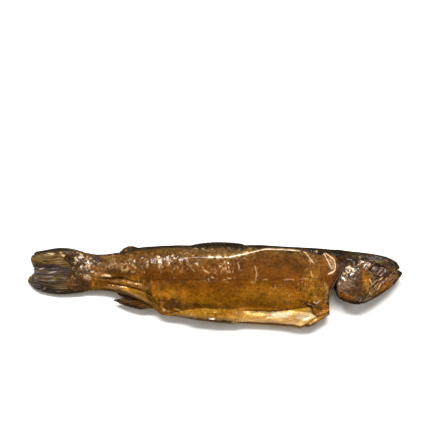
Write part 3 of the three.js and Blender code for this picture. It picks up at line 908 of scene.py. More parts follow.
class Finish(Graph):
    """A material's tree: its coordinates in millimetres, and the colour laid on it coat by coat."""

    def __init__(self, name):
        self.material = bpy.data.materials.new(name)
        self.material.use_nodes = True
        super().__init__(self.material.node_tree)
        self.place = self.stretched(self.node("ShaderNodeTexCoord", output="Object"), (1 / MM,) * 3)
        self.x, self.y, _ = self.split(self.place)
        self.colour = None

    def noise(self, size, detail, rough=0.5, squeeze=None, place=None):
        """Noise from 0 to 1 with lumps about size millimetres across, longer where squeeze is below 1."""
        place = place or self.place
        if squeeze:
            place = self.stretched(place, squeeze)
        return self.node("ShaderNodeTexNoise", inputs={
            "Vector": place, "Scale": 1 / size, "Detail": detail, "Roughness": rough,
        })

    def mark(self, name):
        """One of the marks that the meshes carry at their points."""
        return self.node("ShaderNodeAttribute", {"attribute_name": name}, output="Fac")

    def patch(self, wander, x, y, long, wide, turn=0):
        """1 inside an oval seen from above, turned by degrees, with a soft edge that wanders."""
        cosine, sine = math.cos(math.radians(turn)), math.sin(math.radians(turn))
        dx, dy = self.x - x, self.y - y
        along = dx * (cosine / long) + dy * (sine / long)
        over = dy * (cosine / wide) - dx * (sine / wide)
        return self.fade(along * along + over * over + wander, 1 + PATCH_EDGE, 1 - PATCH_EDGE)

    def lay(self, share, colour):
        """Lays a colour over the one so far, where share is 1."""
        self.colour = self.mix(share, self.colour, colour)

    def shade(self, share, factor):
        """Makes the colour lighter or darker by a factor, where share is 1."""
        self.lay(share, self.mix(1.0, self.colour, (factor,) * 3, "MULTIPLY"))

    def paint(self, wander, patches, share=1.0):
        """Lays patches on, one after another."""
        for *place, colour, strength in patches:
            self.lay(self.patch(wander, *place) * strength * share, colour)

    def mottle(self, noise, strength, light=1.8, dark=0.45):
        """Breaks the colour up by noise into lighter and darker spots."""
        self.shade(self.fade(noise, 0.5, 0.68) * strength, light)
        self.shade(self.fade(noise, 0.49, 0.33) * strength, dark)

    def shine(self):
        """Lays painted highlights on the crests of the folds: golden where they are faint and pale where
        they are strong.
        """
        crest = self.mark("crest")
        colours = bpy.context.scene.trout_colours
        self.lay(crest, self.mix(self.fade(crest, 0.5, 0.95), colours.faint_highlight, colours.crest))

    def paint_relief_shade(self, depth=0.8, factor=0.3):
        """Paints shade into the grooves and painted highlight onto the ridges of the relief."""
        relief = self.mark("relief")
        self.shade(self.fade(relief, -0.05, -depth), factor)
        self.shade(self.fade(relief, 0.15, depth) * 0.5, 1.5)

    def end(self, values, bumps=None, depth=0.0):
        """Ends the tree with its shader. bumps runs from 0 to 1, which stands for depth millimetres."""
        if bumps is not None:
            values["Normal"] = self.node("ShaderNodeBump", inputs={"Distance": depth * MM, "Height": bumps})
        values = {"IOR": OIL_IOR, "Base Color": self.colour, **values}
        shader = self.node("ShaderNodeBsdfPrincipled", inputs=values)
        self.node("ShaderNodeOutputMaterial", inputs={"Surface": shader})
        return self.material


# Colours that are the same wherever they lie.
SOOT = (0.016, 0.01, 0.006)
# Painted shade for the gap above the anal fin and along its lower edge.
FIN_EDGE_SHADE = (0.014, 0.008, 0.005)

# Patches on the trunk's skin: x, y, half length and width, turn in degrees, colour and strength.
SKIN_PATCHES = (
    (-92, 19, 17, 6, -4, (0.12, 0.062, 0.018), 0.8), (-95, 20, 4.5, 5, 0, (0.036, 0.02, 0.018), 0.85),
    (-86, 1, 24, 8, 0, (0.082, 0.031, 0.005), 0.8), (-74, 10.4, 18, 1.3, -2, (0.056, 0.024, 0.006), 0.75),
    (-84, 14, 9, 5.5, -10, (0.11, 0.05, 0.009), 0.7), (-96, 7, 9, 5, 0, (0.1, 0.048, 0.009), 0.9),
    (-114, 8, 14, 30, 6, (0.043, 0.022, 0.009), 0.95), (-64, 14, 12, 7, 20, (0.1, 0.042, 0.008), 0.6),
    (-46, 20, 28, 7, 0, (0.068, 0.028, 0.004), 0.8), (-73, 1.8, 13, 1.7, -8, (0.135, 0.058, 0.009), 0.8),
    (-64, -8.5, 16, 1.5, -29, (0.21, 0.11, 0.034), 0.85), (-31.5, -8, 10, 4.6, 10, (0.33, 0.13, 0.01), 0.75),
    (-60, -6, 9, 5, -30, (0.19, 0.085, 0.012), 0.7), (-43, -22.4, 8, 3.2, -25, (0.36, 0.13, 0.01), 0.8),
    (-36, -14.6, 12, 4.4, -12, (0.062, 0.02, 0.003), 0.85),
    (-22, -16.6, 12, 2.4, -4, (0.08, 0.032, 0.006), 0.7),
    (-2, -17.2, 20, 1.8, -3, (0.105, 0.045, 0.006), 0.6),
    (1, -21.2, 24, 3.4, -2, (0.215, 0.086, 0.002), 0.9), (-42, -18, 2.6, 0.6, -45, (0.42, 0.215, 0.03), 0.8),
    # The next two patches are painted glints on the vent.
    (-40.6, -20, 1.5, 0.9, -30, (0.8, 0.56, 0.25), 0.8),
    (-37.2, -21.4, 1.3, 0.8, 0, (0.56, 0.36, 0.11), 0.7),
    (-28.6, -20.6, 3.4, 0.8, -25, (0.76, 0.47, 0.11), 0.8),
    (-33, -15.4, 3.4, 1.2, 10, (0.08, 0.034, 0.022), 0.5),
    (-20, -22.6, 10, 1.8, -6, (0.27, 0.125, 0.006), 0.7), (-2.6, -21.4, 9, 1.5, 0, (0.36, 0.18, 0.016), 0.6),
    (42, -7, 24, 6, -4, (0.31, 0.12, 0.009), 0.6), (33, -1, 10, 4.5, 0, (0.23, 0.088, 0.006), 0.5),
    (80, -5, 12, 7.5, -14, (0.215, 0.092, 0.008), 0.65), (80, 15, 9, 9, 0, (0.105, 0.04, 0.007), 0.75),
    (76, 8, 6.5, 5.5, 30, (0.215, 0.092, 0.008), 0.55), (91, 16.6, 1.9, 5, 18, (0.12, 0.09, 0.05), 0.8),
    # The second patch on the next line, at x 101, is painted shade in the gap under the gill cover's rear
    # edge.
    (107, 24, 12, 8, 0, SOOT, 0.95), (101, 14, 4.5, 11, 0, (0.026, 0.011, 0.004), 0.95),
    (86, -22, 7, 9, 0, (0.23, 0.098, 0.013), 0.85), (86, 27, 22, 2.8, -6, SOOT, 0.95),
    (78, -16, 9, 1.6, -20, (0.07, 0.03, 0.008), 0.8), (0, 25, 24, 4, 0, (0.08, 0.042, 0.013), 0.7),
    (-33, 27.4, 17, 2, 0, (0.09, 0.044, 0.01), 0.7), (-2, -28.4, 27, 0.9, -5, (0.035, 0.014, 0.004), 0.95),
    # The first patch on the next line, at x -2.4, is a painted highlight on the far flap's edge.
    (-2.4, -27.4, 2.2, 0.8, 0, (0.85, 0.74, 0.56), 0.9), (-53, 1, 2.6, 14, 8, (0.07, 0.025, 0.004), 0.7),
    (-28, -3, 2.4, 12, -6, (0.08, 0.028, 0.004), 0.5), (-43, 6, 2, 9, 5, (0.08, 0.03, 0.005), 0.5),
    (-4, 8, 2, 10, 0, (0.08, 0.029, 0.004), 0.5), (22, 12, 2, 10, 0, (0.085, 0.032, 0.007), 0.5),
    (48, 20, 26, 5, -2, (0.092, 0.031, 0.006), 0.6), (88, -2, 1.1, 5, 22, (0.33, 0.21, 0.08), 0.5),
    (87.6, -10, 1.1, 4.6, -4, (0.33, 0.2, 0.08), 0.55), (-75, 10, 10, 3.6, -6, (0.052, 0.019, 0.003), 0.85),
    (-36, 10, 18, 4.5, 0, (0.085, 0.026, 0.003), 0.6),
)

# Patches on the cream flap, laid on in the same way, with painted highlights and painted light among them.
FLAP_PATCHES = (
    (28, -24, 13, 3.4, 0, (0.29, 0.142, 0.022), 0.8), (40, -22, 4, 1.6, 0, (0.37, 0.24, 0.056), 0.7),
    # The patches at x 52 and 73 on the next line are painted wet highlights.
    (52, -24.3, 8.5, 2.6, 4, (0.48, 0.38, 0.245), 0.9), (73, -25.4, 7, 2.2, 0, (0.5, 0.39, 0.24), 0.85),
    (66, -19.8, 10, 2, 8, (0.42, 0.225, 0.018), 0.9), (43.6, -23.2, 1.1, 2.2, 0, (0.22, 0.11, 0.04), 0.8),
    # The long patch along the lower rim, at y -31.4 on the next line, is painted light on a side that faces
    # down.
    (63, -27.2, 2.6, 1.4, 0, (0.26, 0.15, 0.06), 0.8), (45, -31.4, 42, 2, -3, (0.78, 0.49, 0.19), 0.85),
)

# Where the tail's root is silver with painted glints: x, y, half length and width, and turn in degrees.
SILVER_GLINT_PLACES = (
    (-111.2, 19.5, 1.3, 2.6, 12), (-106.8, 13.8, 1.2, 1.9, 0), (-101.6, 15, 2.2, 4, -10),
    (-101.8, 6, 3.6, 2.2, -20), (-98, 10.6, 1.6, 1, 0), (-107, 21, 3, 2, -30),
)


@functools.cache
def skin_material():
    """Oily smoked skin: near-black back, brown flank, gold belly and a cream near flap."""
    colours = bpy.context.scene.trout_colours
    skin = Finish("smoked_skin")
    x, y, fade = skin.x, skin.y, skin.fade
    across, collar = skin.mark("across"), skin.mark("collar")
    broad = skin.noise(13, 3)
    mottle = skin.noise(4, 4, 0.65)
    uneven = mottle - 0.5
    speckle = skin.noise(1.9, 3, 0.7, (0.85, 1, 1))
    wander = (broad - 0.5) * 0.16 + uneven * 0.08
    skin.colour = skin.ramp(across + wander, [
        (0.0, colours.back), (0.045, (0.026, 0.015, 0.007)), (0.085, colours.saddle),
        (0.19, (0.1, 0.039, 0.008)), (0.32, colours.flank), (0.44, (0.1, 0.031, 0.003)),
        (0.57, colours.amber), (0.7, (0.24, 0.088, 0.004)), (0.84, colours.gold),
        (0.93, (0.3, 0.13, 0.012)), (0.98, (0.16, 0.085, 0.024)),
    ])
    edge = uneven * 3 + (broad - 0.5) * 2.2
    skin.paint(edge, SKIN_PATCHES)

    # The near flap is cream below its crease, patchy at its start, with gold, painted wet highlights and
    # painted light on its lower rim.
    flap = fade(skin.mark("flap") + uneven * 4, -0.3, 0.8) * fade(x + uneven * 26, 12, 26)
    flank, skin.colour = skin.colour, colours.cream
    skin.paint(edge * 1.3, FLAP_PATCHES)
    skin.mottle(mottle, 0.5, 1.3, 0.7)
    skin.colour = skin.mix(flap * 0.95, flank, skin.colour)

    # Along the collar the skin is darkened, painted shade of the gap under the gill cover with dark tissue
    # in it, and a paler flesh rim lies below it.
    rim = collar + uneven * 3.5
    skin.lay(fade(rim, 5, 1) * fade(y, -6, -1) * 0.9, (0.03, 0.013, 0.006))
    skin.lay(fade(rim, 4, 2) * fade(y, -4, -8) * 0.7, (0.23, 0.12, 0.034))
    skin.lay(fade(collar, 1.7, 0.6) * 0.9, (0.026, 0.012, 0.005))

    # Silver skin shows in patches at the tail's root, painted lighter as glints.
    bare = functools.reduce(Wire.larger, (skin.patch(edge, *place) for place in SILVER_GLINT_PLACES))
    bare = bare * fade(speckle, 0.47, 0.56)
    skin.lay(bare * 0.95, colours.silver_glint)

    # The back is speckled, the panel under the crease is calm, and strands run down the front of the belly.
    upper = fade(across, 0.34, 0.16)
    plain = 1 - flap * 0.7
    panel = fade(x, -4, 10) * fade(x, 72, 62) * fade(y, 3, 8)
    front = fade(x, 50, 72) * fade(y, 9, 1) * plain
    skin.mottle(skin.noise(1.3, 3, 0.7, (1, 0.3, 1)), front * 0.9, 2.1, 0.5)
    skin.mottle(speckle, (upper * 0.3 + 0.65) * plain * (1 - panel * 0.4))
    skin.mottle(mottle, (upper * 0.3 + 0.45) * plain, 1.45, 0.55)
    skin.mottle(broad, 0.8, 1.3, 0.7)
    # Painted shade in the grooves and painted highlights on the ridges and the crests.
    skin.paint_relief_shade()
    skin.shine()

    sheen = fade(across, 0.5, 0.8) * fade(across, 1.05, 0.95)
    rough = fade(x, 2, -14) * fade(across, 0.42, 0.3)
    oil = 0.14 + skin.mark("crest") * 0.5 + panel * 0.3 + bare * 0.35 - flap * 0.06 - fade(x, 93, 99) * 0.1
    return skin.end({
        "Roughness": 0.15 + rough * 0.05 + uneven * 0.1 + flap * 0.1,
        "Metallic": 0.04 + sheen * (1 - flap * 0.6) * 0.2 + bare * 0.3,
        "Specular IOR Level": 0.14, "Coat Weight": oil, "Coat Roughness": 0.1,
    }, skin.noise(0.8, 2), 0.02)


# Patches on the head, laid on in the same way.
HEAD_PATCHES = (
    (104, 3, 10, 15, 0, (0.085, 0.045, 0.023), 0.95), (102.5, 2, 7, 5, 30, (0.105, 0.065, 0.042), 0.85),
    (105, 10.5, 6.5, 4.4, 28, (0.1, 0.072, 0.056), 0.85),
    (109.6, -4.8, 5, 2.6, 0, (0.062, 0.028, 0.011), 0.85),
    (103, -9.8, 8, 3.2, -20, (0.16, 0.056, 0.006), 0.9),
    (118, 5.5, 4.4, 9.5, 10, (0.11, 0.044, 0.007), 0.95),
    (118.6, 4, 2.4, 5.6, 14, (0.195, 0.071, 0.007), 0.85),
    (121, -2, 7, 1.6, -60, (0.22, 0.115, 0.025), 0.85), (115, -5.4, 3.6, 4.2, 0, (0.07, 0.027, 0.009), 0.85),
    (118.5, -10.8, 7, 1.9, 6, (0.165, 0.108, 0.074), 0.85),
    (112.6, 3, 3, 11, -6, (0.036, 0.016, 0.008), 0.7),
    (110.5, 11.5, 2.6, 4, 20, (0.028, 0.015, 0.009), 0.85),
    (130, 11.5, 9.6, 7, -14, (0.026, 0.012, 0.006), 0.85),
    (123.6, 9, 3, 2.4, -30, (0.09, 0.056, 0.016), 0.8), (134.6, -0.5, 8, 4, 38, (0.15, 0.06, 0.011), 0.9),
    # The violet-grey strip on the crown, on the next line, is a painted sheen.
    (127.5, 21.4, 8, 1.7, -9, (0.05, 0.051, 0.062), 0.8),
    (131.5, 18.4, 4.5, 1, -12, (0.11, 0.08, 0.022), 0.8), (143.6, 6.6, 4.4, 2, 46, (0.1, 0.066, 0.028), 0.6),
    (107, 19.4, 9, 3.2, -8, (0.018, 0.011, 0.007), 0.9), (145.5, 14.6, 3.4, 3, 0, (0.03, 0.019, 0.01), 0.9),
    (140.6, 15.6, 5, 3.2, -35, (0.052, 0.022, 0.007), 0.8),
)


@functools.cache
def head_material():
    """Skin over bone: black crown with a painted sheen, silver-mauve gill cover with painted glints, gold
    cheek, and streaked brown jaw.
    """
    colours = bpy.context.scene.trout_colours
    head = Finish("head_skin")
    x, y, fade = head.x, head.y, head.fade
    mottle = head.noise(3, 4, 0.65)
    uneven = mottle - 0.5
    fine = head.noise(1.7, 3, 0.7)
    slanted = head.node("ShaderNodeVectorRotate", {"rotation_type": "Z_AXIS"},
                        {"Vector": head.place, "Angle": math.radians(-42)})
    streak = head.noise(1.1, 3, 0.6, (0.22, 1, 0.5), slanted)
    edge = uneven * 2.2
    head.colour = head.mix(fade(mottle, 0.4, 0.62), (0.05, 0.026, 0.01), (0.125, 0.064, 0.022))
    head.paint(edge, HEAD_PATCHES)

    # The jaws are streaked and dark at the tip, and painted shade darkens the lowest edge of each head part:
    # the mouth line, the chin and the gill covers' lower rims.
    front = fade(x, 119, 126) * fade(y - x * 0.6 + 78, 10, 4)
    head.lay(fade(streak, 0.55, 0.68) * front * 0.7, (0.26, 0.12, 0.028))
    head.lay(fade(streak, 0.48, 0.36) * front * 0.85, (0.035, 0.014, 0.006))
    across = head.mark("across")
    underside_shade = fade(across, 0.84, 0.96) * fade(across, 1.2, 1.1)
    tip = head.patch(edge, 148.6, 9, 3.4, 3.2)
    head.lay(tip.larger(underside_shade * 0.8), (0.022, 0.012, 0.007))

    # The crown is near black but for a strip of painted sheen, painted shade darkens the nape in the gap
    # beside the trunk, and the gill cover is silver with painted glints between dark chips.
    crown = fade(y + uneven * 6 + (x - 120) * 0.16, 16.5, 20)
    crown = crown * (1 - head.patch(edge, 128, 20.6, 9, 2.6, -9) * 0.7)
    head.lay(crown * 0.92, head.mix(fade(fine, 0.45, 0.65), (0.014, 0.01, 0.006), (0.04, 0.032, 0.021)))
    nape_shade = fade(x + uneven * 4 - y * 0.5, 99, 94) * fade(y, 8, 12)
    head.lay(nape_shade * 0.92, (0.026, 0.013, 0.005))
    silver_glint = head.patch(edge, 105, 10.2, 7, 5.4, 28)
    head.lay(silver_glint * fade(fine, 0.55, 0.61) * 0.7, colours.silver_glint)
    head.lay(silver_glint * fade(fine, 0.52, 0.42) * 0.9, (0.034, 0.018, 0.01))
    head.mottle(fine, 1, 2, 0.32)
    head.paint_relief_shade(0.5, 0.22)
    head.shine()

    temple = head.patch(edge, 118.5, 17, 5, 3)
    oil = 0.1 + silver_glint * 0.5 + head.mark("crest") * 0.5 + temple * 0.4 - nape_shade * 0.08
    return head.end({
        "Roughness": 0.14 + uneven * 0.1, "Metallic": silver_glint * 0.15, "Specular IOR Level": 0.15,
        "Coat Weight": oil, "Coat Roughness": 0.1,
    }, fine, 0.02)


# Dark patches of the tail fin and of the fins below it, with painted shade in the anal fin's gap and along
# its lower edge, and the painted gold and violet glints of the tail fin.
TAIL_DARKS_AND_SHADE = (
    (-141, -1, 8, 4.6, -25, (0.018, 0.01, 0.005), 0.85),
    (-134, 14.4, 9, 1.6, 0, (0.022, 0.014, 0.014), 0.85),
    (-143, 16.4, 4, 1.6, 0, (0.028, 0.018, 0.007), 0.7), (-128, 0, 10, 1.2, -6, (0.024, 0.014, 0.008), 0.7),
    (-116, -2, 14, 3, 0, (0.094, 0.05, 0.015), 0.6), (-54, -15, 16, 3, -35, (0.103, 0.04, 0.005), 0.85),
    (-68, -14.5, 10, 2.4, -12, (0.062, 0.022, 0.0015), 0.9),
    (-72, -12.6, 5, 1.6, -12, (0.06, 0.04, 0.016), 0.8),
    (-79.6, -12.6, 3.4, 1.8, -20, (0.014, 0.009, 0.006), 0.85), (-66, -17.6, 13, 1.1, -14, FIN_EDGE_SHADE, 0.95),
    (-70, -11.6, 12, 0.7, -6, FIN_EDGE_SHADE, 0.9), (-74, -8.4, 7, 1.8, -24, (0.026, 0.01, 0.006), 0.9),
)
TAIL_GLINTS = (
    (-133.4, 24.3, 3.8, 1, 8, (0.7, 0.52, 0.27), 0.85),
    (-122.4, 23.4, 3.4, 0.9, -42, (0.6, 0.41, 0.19), 0.85),
    (-136.8, 17.6, 4.6, 0.8, -6, (0.34, 0.22, 0.08), 0.8), (-140, 12.4, 2, 0.5, 18, (0.42, 0.36, 0.35), 0.8),
    (-129, 12.8, 2.6, 0.5, 6, (0.28, 0.24, 0.25), 0.8), (-130.7, 9.8, 3, 0.4, 8, (0.36, 0.31, 0.31), 0.8),
    (-133.9, 6.4, 4, 0.3, -3, (0.28, 0.24, 0.24), 0.75), (-132, 2.9, 3.2, 0.45, -6, (0.36, 0.31, 0.29), 0.8),
    (-144.8, 4.6, 1.7, 0.7, 0, (0.24, 0.17, 0.14), 0.75), (-124, 5, 3.4, 0.4, -8, (0.24, 0.19, 0.16), 0.7),
    (-137.7, -3.5, 1, 0.6, 0, (0.6, 0.45, 0.28), 0.9),
)


@functools.cache
def fin_material():
    """Dried fin: olive gold in the tail's upper lobe, violet grey in its fork, dark brown below."""
    fin = Finish("fin")
    x, y, fade = fin.x, fin.y, fin.fade
    mottle = fin.noise(4, 3, 0.6)
    uneven = mottle - 0.5
    streak = fin.noise(1.4, 3, 0.65, (0.16, 1, 0.4))
    lobes = fin.ramp(fade(y + uneven * 7, -8, 28), [
        (0.0, (0.022, 0.012, 0.006)), (0.2, (0.06, 0.034, 0.012)), (0.42, (0.052, 0.032, 0.018)),
        (0.52, (0.042, 0.028, 0.024)), (0.64, (0.034, 0.023, 0.02)), (0.74, (0.1, 0.058, 0.014)),
        (0.93, (0.12, 0.072, 0.022)), (1.0, (0.04, 0.025, 0.012)),
    ])
    tail = fade(x, -92, -98)
    plain = fin.mix(fade(mottle, 0.4, 0.6), bpy.context.scene.trout_colours.fin, (0.105, 0.048, 0.014))
    fin.colour = fin.mix(tail, plain, lobes)
    fin.lay(fade(streak, 0.5, 0.36) * 0.85, (0.014, 0.008, 0.004))
    fin.lay(fade(streak, 0.54, 0.68) * tail * 0.5, (0.21, 0.125, 0.045))
    fin.paint(uneven * 2, TAIL_DARKS_AND_SHADE)
    fin.paint(uneven * 3, TAIL_GLINTS, fade(streak, 0.42, 0.54))

    # The tail fin's upper and lower edges are dark, and so is the dorsal fin.
    bent = abs(x + 124) * 0.15
    rim = fade(y + bent, 27, 28.4) + fade(y - bent, -5.2, -6.4)
    fin.lay(rim * tail * 0.85, SOOT)
    # Painted shade in the grooves between the rays and in the tail's waves, painted highlight on their
    # ridges.
    fin.paint_relief_shade(0.35)
    fin.lay(fade(y, 27, 29) * fade(x, -80, -60) * 0.95, (0.01, 0.004, 0.001))
    return fin.end({
        "Roughness": 0.26 + uneven * 0.12, "Specular IOR Level": 0.06,
        "Coat Weight": 0.02 + tail * 0.2, "Coat Roughness": 0.16,
    }, streak, 0.03)


@functools.cache
def eye_material():
    """A sunken eye clouded by the smoke: a whitish lens, a mauve fold, a painted highlight at its front, and
    dark between and round them.
    """
    eye = Finish("clouded_eye")
    mottle = eye.noise(1.5, 3, 0.6)
    eye.colour = eye.mix(eye.fade(mottle, 0.4, 0.6), (0.014, 0.007, 0.007), (0.075, 0.04, 0.028))
    eye.paint((mottle - 0.5) * 1.6, (
        (126, 8.6, 4.4, 1.8, -24, (0.1, 0.056, 0.02), 0.8),
        (*LENS, 2.3, 1.3, -24, bpy.context.scene.trout_colours.lens, 0.85),
        (130.6, 11.1, 3.4, 0.55, 47, (0.22, 0.125, 0.1), 0.85),
        (131.8, 8.4, 3.2, 0.8, 45, (0.15, 0.08, 0.05), 0.85),
        # The whitish patch at x 134.9 is a painted highlight.
        (134.9, 11.5, 0.8, 1.5, -8, (0.22, 0.175, 0.16), 0.8),
    ))
    return eye.end({"Roughness": 0.16 + mottle * 0.1, "Specular IOR Level": 0.25}, mottle, 0.06)


@functools.cache
def flesh_material(name, kind, shine=0.3):
    """Cured flesh, lining, gill or bone: its colour broken up finely, with painted shade in the grooves."""
    flesh = Finish(name)
    flesh.colour = getattr(bpy.context.scene.trout_colours, kind)
    mottle = flesh.noise(3, 4, 0.65)
    fibre = flesh.noise(0.9, 3, 0.5, (0.35, 1, 1))
    flesh.mottle(fibre * 0.5 + mottle * 0.5, 0.8, 1.6, 0.5)
    flesh.paint_relief_shade(0.5)
    return flesh.end({"Roughness": shine + mottle * 0.2}, fibre, 0.08)


# --- the trunk


def trunk_share(x, y):
    return share_down(x, y, back_line, belly_line)


def flap_foot(side, x):
    return belly_line(x) + lip_radius(x) + (flap_drawn_up(x) if side == NEAR else 0)


def trunk_middle(x, share):
    """The height of the trunk's middle, which sags towards the belly."""
    return trunk_axis(x) - belly_droop(x) * ease(0.35, 0.95, share)


def trunk_point(side, layer, share, x):
    """A point of the trunk's section at x. layer is skin or lining; share runs from the back to the lip."""
    top = back_line(x)
    foot = flap_foot(side, x)
    y = top + (foot - top) * share

    # The section is an oval that turns into a thin plate at the tail and ends in the flap's edge.
    flat = ease(-106, -119, x)
    down = share / flank_end(x)
    squared = np.where(down < FULLEST, flatness(x), 0.9)
    rise = (1 - flat) * oval(down, FULLEST) ** squared + flat * plate(share)
    flap = (slit_half(x) + 2 * lip_radius(x)) * ease(0.3, 0.6, share)
    corner = 1.5 + 3 * ease(0.4, 0.7, share)
    skin = soft_max(trunk_half(x) * rise, flap, corner) - corner / 4 * ease(0.05, 0, share)

    # Above its long crease the back falls away.
    beyond = y - back_crease(x)
    skin -= back_fall(x) * (soft_max(beyond, 0, CREASE_BEND) - CREASE_BEND / 4) * ease(0, 3, skin)
    if layer == "skin":
        out = np.maximum(skin, 0)
    else:
        hollow_top = 1 - hollow_depth(x) / (top - foot)
        down = np.clip((share - hollow_top) / (1 - hollow_top), 0, 1)
        room = np.minimum(hollow_half(x) * oval(down, FULLEST), skin - FLAP)
        out = np.maximum(slit_half(x) * ease(0, 0.15, down), room)
    z = trunk_middle(x, share) + side * out
    if side == FAR and layer == "skin":
        z = soft_max(z, 0, 1.2)
    return joined(x, y, z)


def trunk_lip(side, turn, x):
    """A point of a belly flap's rounded edge at x; turn runs from 0 on the skin to pi on the lining."""
    lip = lip_radius(x)
    z = trunk_axis(x) - belly_droop(x) + side * (slit_half(x) + lip + lip * math.cos(turn))
    return joined(x, flap_foot(side, x) - lip * math.sin(turn), z)


def trunk_rows():
    """The rows' places along the fish, before the worn tail edge and the collar warp them."""
    return np.concatenate([
        np.linspace(TRUNK_REAR, TRUNK_NECK, ROWS - FRONT_ROWS, endpoint=False),
        np.linspace(TRUNK_NECK, TRUNK_FRONT, FRONT_ROWS),
    ])


def trunk_reach(share):
    """Where each row lies at this share of the way down: its ends follow the collar and the tail edge."""
    rows = trunk_rows()
    to_collar = (rows - TRUNK_NECK) / (TRUNK_FRONT - TRUNK_NECK)
    to_tail = (rows - TAIL_NECK) / (TRUNK_REAR - TAIL_NECK)
    front = TRUNK_NECK + to_collar * (collar_line(share) - TRUNK_NECK)
    rear = TAIL_NECK + to_tail * (tail_skin_edge(share) - TAIL_NECK)
    return np.where(rows > TRUNK_NECK, front, np.where(rows < TAIL_NECK, rear, rows))


@functools.cache
def trunk_sheet():
    """The trunk's open section: down the near skin, up and down the lining, and up the far skin."""
    near = spaced(0, 1, NEAR_SKIN, 0.5)
    far = spaced(0, 1, FAR_SKIN, 0.6)
    lips = np.linspace(0, math.pi, LIP + 2)[1:-1]
    depth = hollow_depth(trunk_rows()) / (back_line(trunk_rows()) - belly_line(trunk_rows()))
    columns = [(trunk_point(NEAR, "skin", share, trunk_reach(share)), share, share) for share in near]
    for side, downs in ((NEAR, spaced(0, 1, LINING, 0.4)[::-1]), (FAR, spaced(0, 1, LINING, 0.4)[1:])):
        edge = [
            (trunk_lip(side, turn, trunk_reach(1.0)), 1.0 if turn < 2 else LINING_MARK, 1.0)
            for turn in lips[::side]
        ]
        shares = [1 - depth * (1 - down) for down in downs]
        inside = [
            (trunk_point(side, "lining", share, trunk_reach(share)), LINING_MARK, 1.0) for share in shares
        ]
        columns += edge + inside if side == NEAR else inside + edge
    columns += [(trunk_point(FAR, "skin", share, trunk_reach(share)), share, share) for share in far[:0:-1]]
    points = np.stack([column[0] for column in columns], 1)
    across = np.tile([column[1] for column in columns], (len(points), 1))
    collar = collar_line([column[2] for column in columns]) - points[..., 0]
    highlight_crests = np.maximum(highlight_crest_share(points, TRUNK_HIGHLIGHT_CRESTS), crinkle_glint_share(points, CRINKLE_GLINTS))
    marks = {"collar": collar, "crest": highlight_crests, "flap": flap_depth(points)}
    sheet = Sheet(points, across, marks)
    return sheet.emboss(trunk_relief(sheet))


def fold_relief(x, y):
    """Heights of the creases and folds that run along named lines."""
    crease, along = beside(x, y, BACK_CREASE)
    lift = 0.22 * hill(crease, -0.2, 0.9) * ease(0, 0.25, along) * ease(1.0, 0.97, along)
    lift += ridges(x, y, TRUNK_FOLDS)
    inside = flap_depth(joined(x, y, 0))
    opened = ease(14, 34, x)
    wet = 0.22 * Grain(71)(joined(x, y, 0), (6, 1.6, 1)) * ease(0, 2, inside)
    return lift + opened * (0.9 * hill(inside, 4.5, 3.5) - 0.9 * hill(inside, 0, 1.2) + wet)


def flap_depth(points):
    """How far inside the cream belly flap a point lies, below its crease and behind its front end."""
    x, y, _ = np.moveaxis(points, -1, 0)
    return np.minimum(belly_crease(x) - y, flap_end(y) - x)


def highlight_crest_share(points, highlight_crests):
    """1 where a painted highlight lies on the crests, fading to 0 within a millimetre."""
    x, y, _ = np.moveaxis(points, -1, 0)
    beads = 1.5 * Grain(61)(points, (2.1, 1.5, 1.5))
    shares = [
        ridge(x, y, line, strength, half) * (1 - beaded + beaded * np.clip(beads + 0.55, 0, 1))
        for line, half, strength, beaded in highlight_crests
    ]
    return np.maximum.reduce(shares)


def crinkle_glint_share(points, places):
    """Short broken lines of painted glint that wander over the crinkled places, laid on like the crests'
    highlights.
    """
    x, y, _ = np.moveaxis(points, -1, 0)
    total = 0
    for number, (along, over, (long, wide), strength) in enumerate(places):
        grain = Grain(67 + number)
        lines = np.clip(2.4 * grain.creases(points, (long, wide, wide), 9) - 0.9, 0, 1)
        lines *= np.clip(0.2 + 1.6 * grain(points, 2.1), 0, 1)
        total = total + lines * strength * within(x, *along, 3) * within(y, *over, 2)
    return np.minimum(total, 1)


def calm_share(x, y):
    """1 on the smooth panel under the crease and along the crease, 0 where the skin is rough."""
    panel = within(x, 2, 76, 5) * within(y, 4, 21, 3)
    crease, _ = beside(x, y, BACK_CREASE)
    fold, _ = beside(x, y, SHOULDER_FOLDS[0])
    return np.maximum.reduce([panel, hill(crease, -0.5, 2.0), hill(fold, 0, 1.4)])


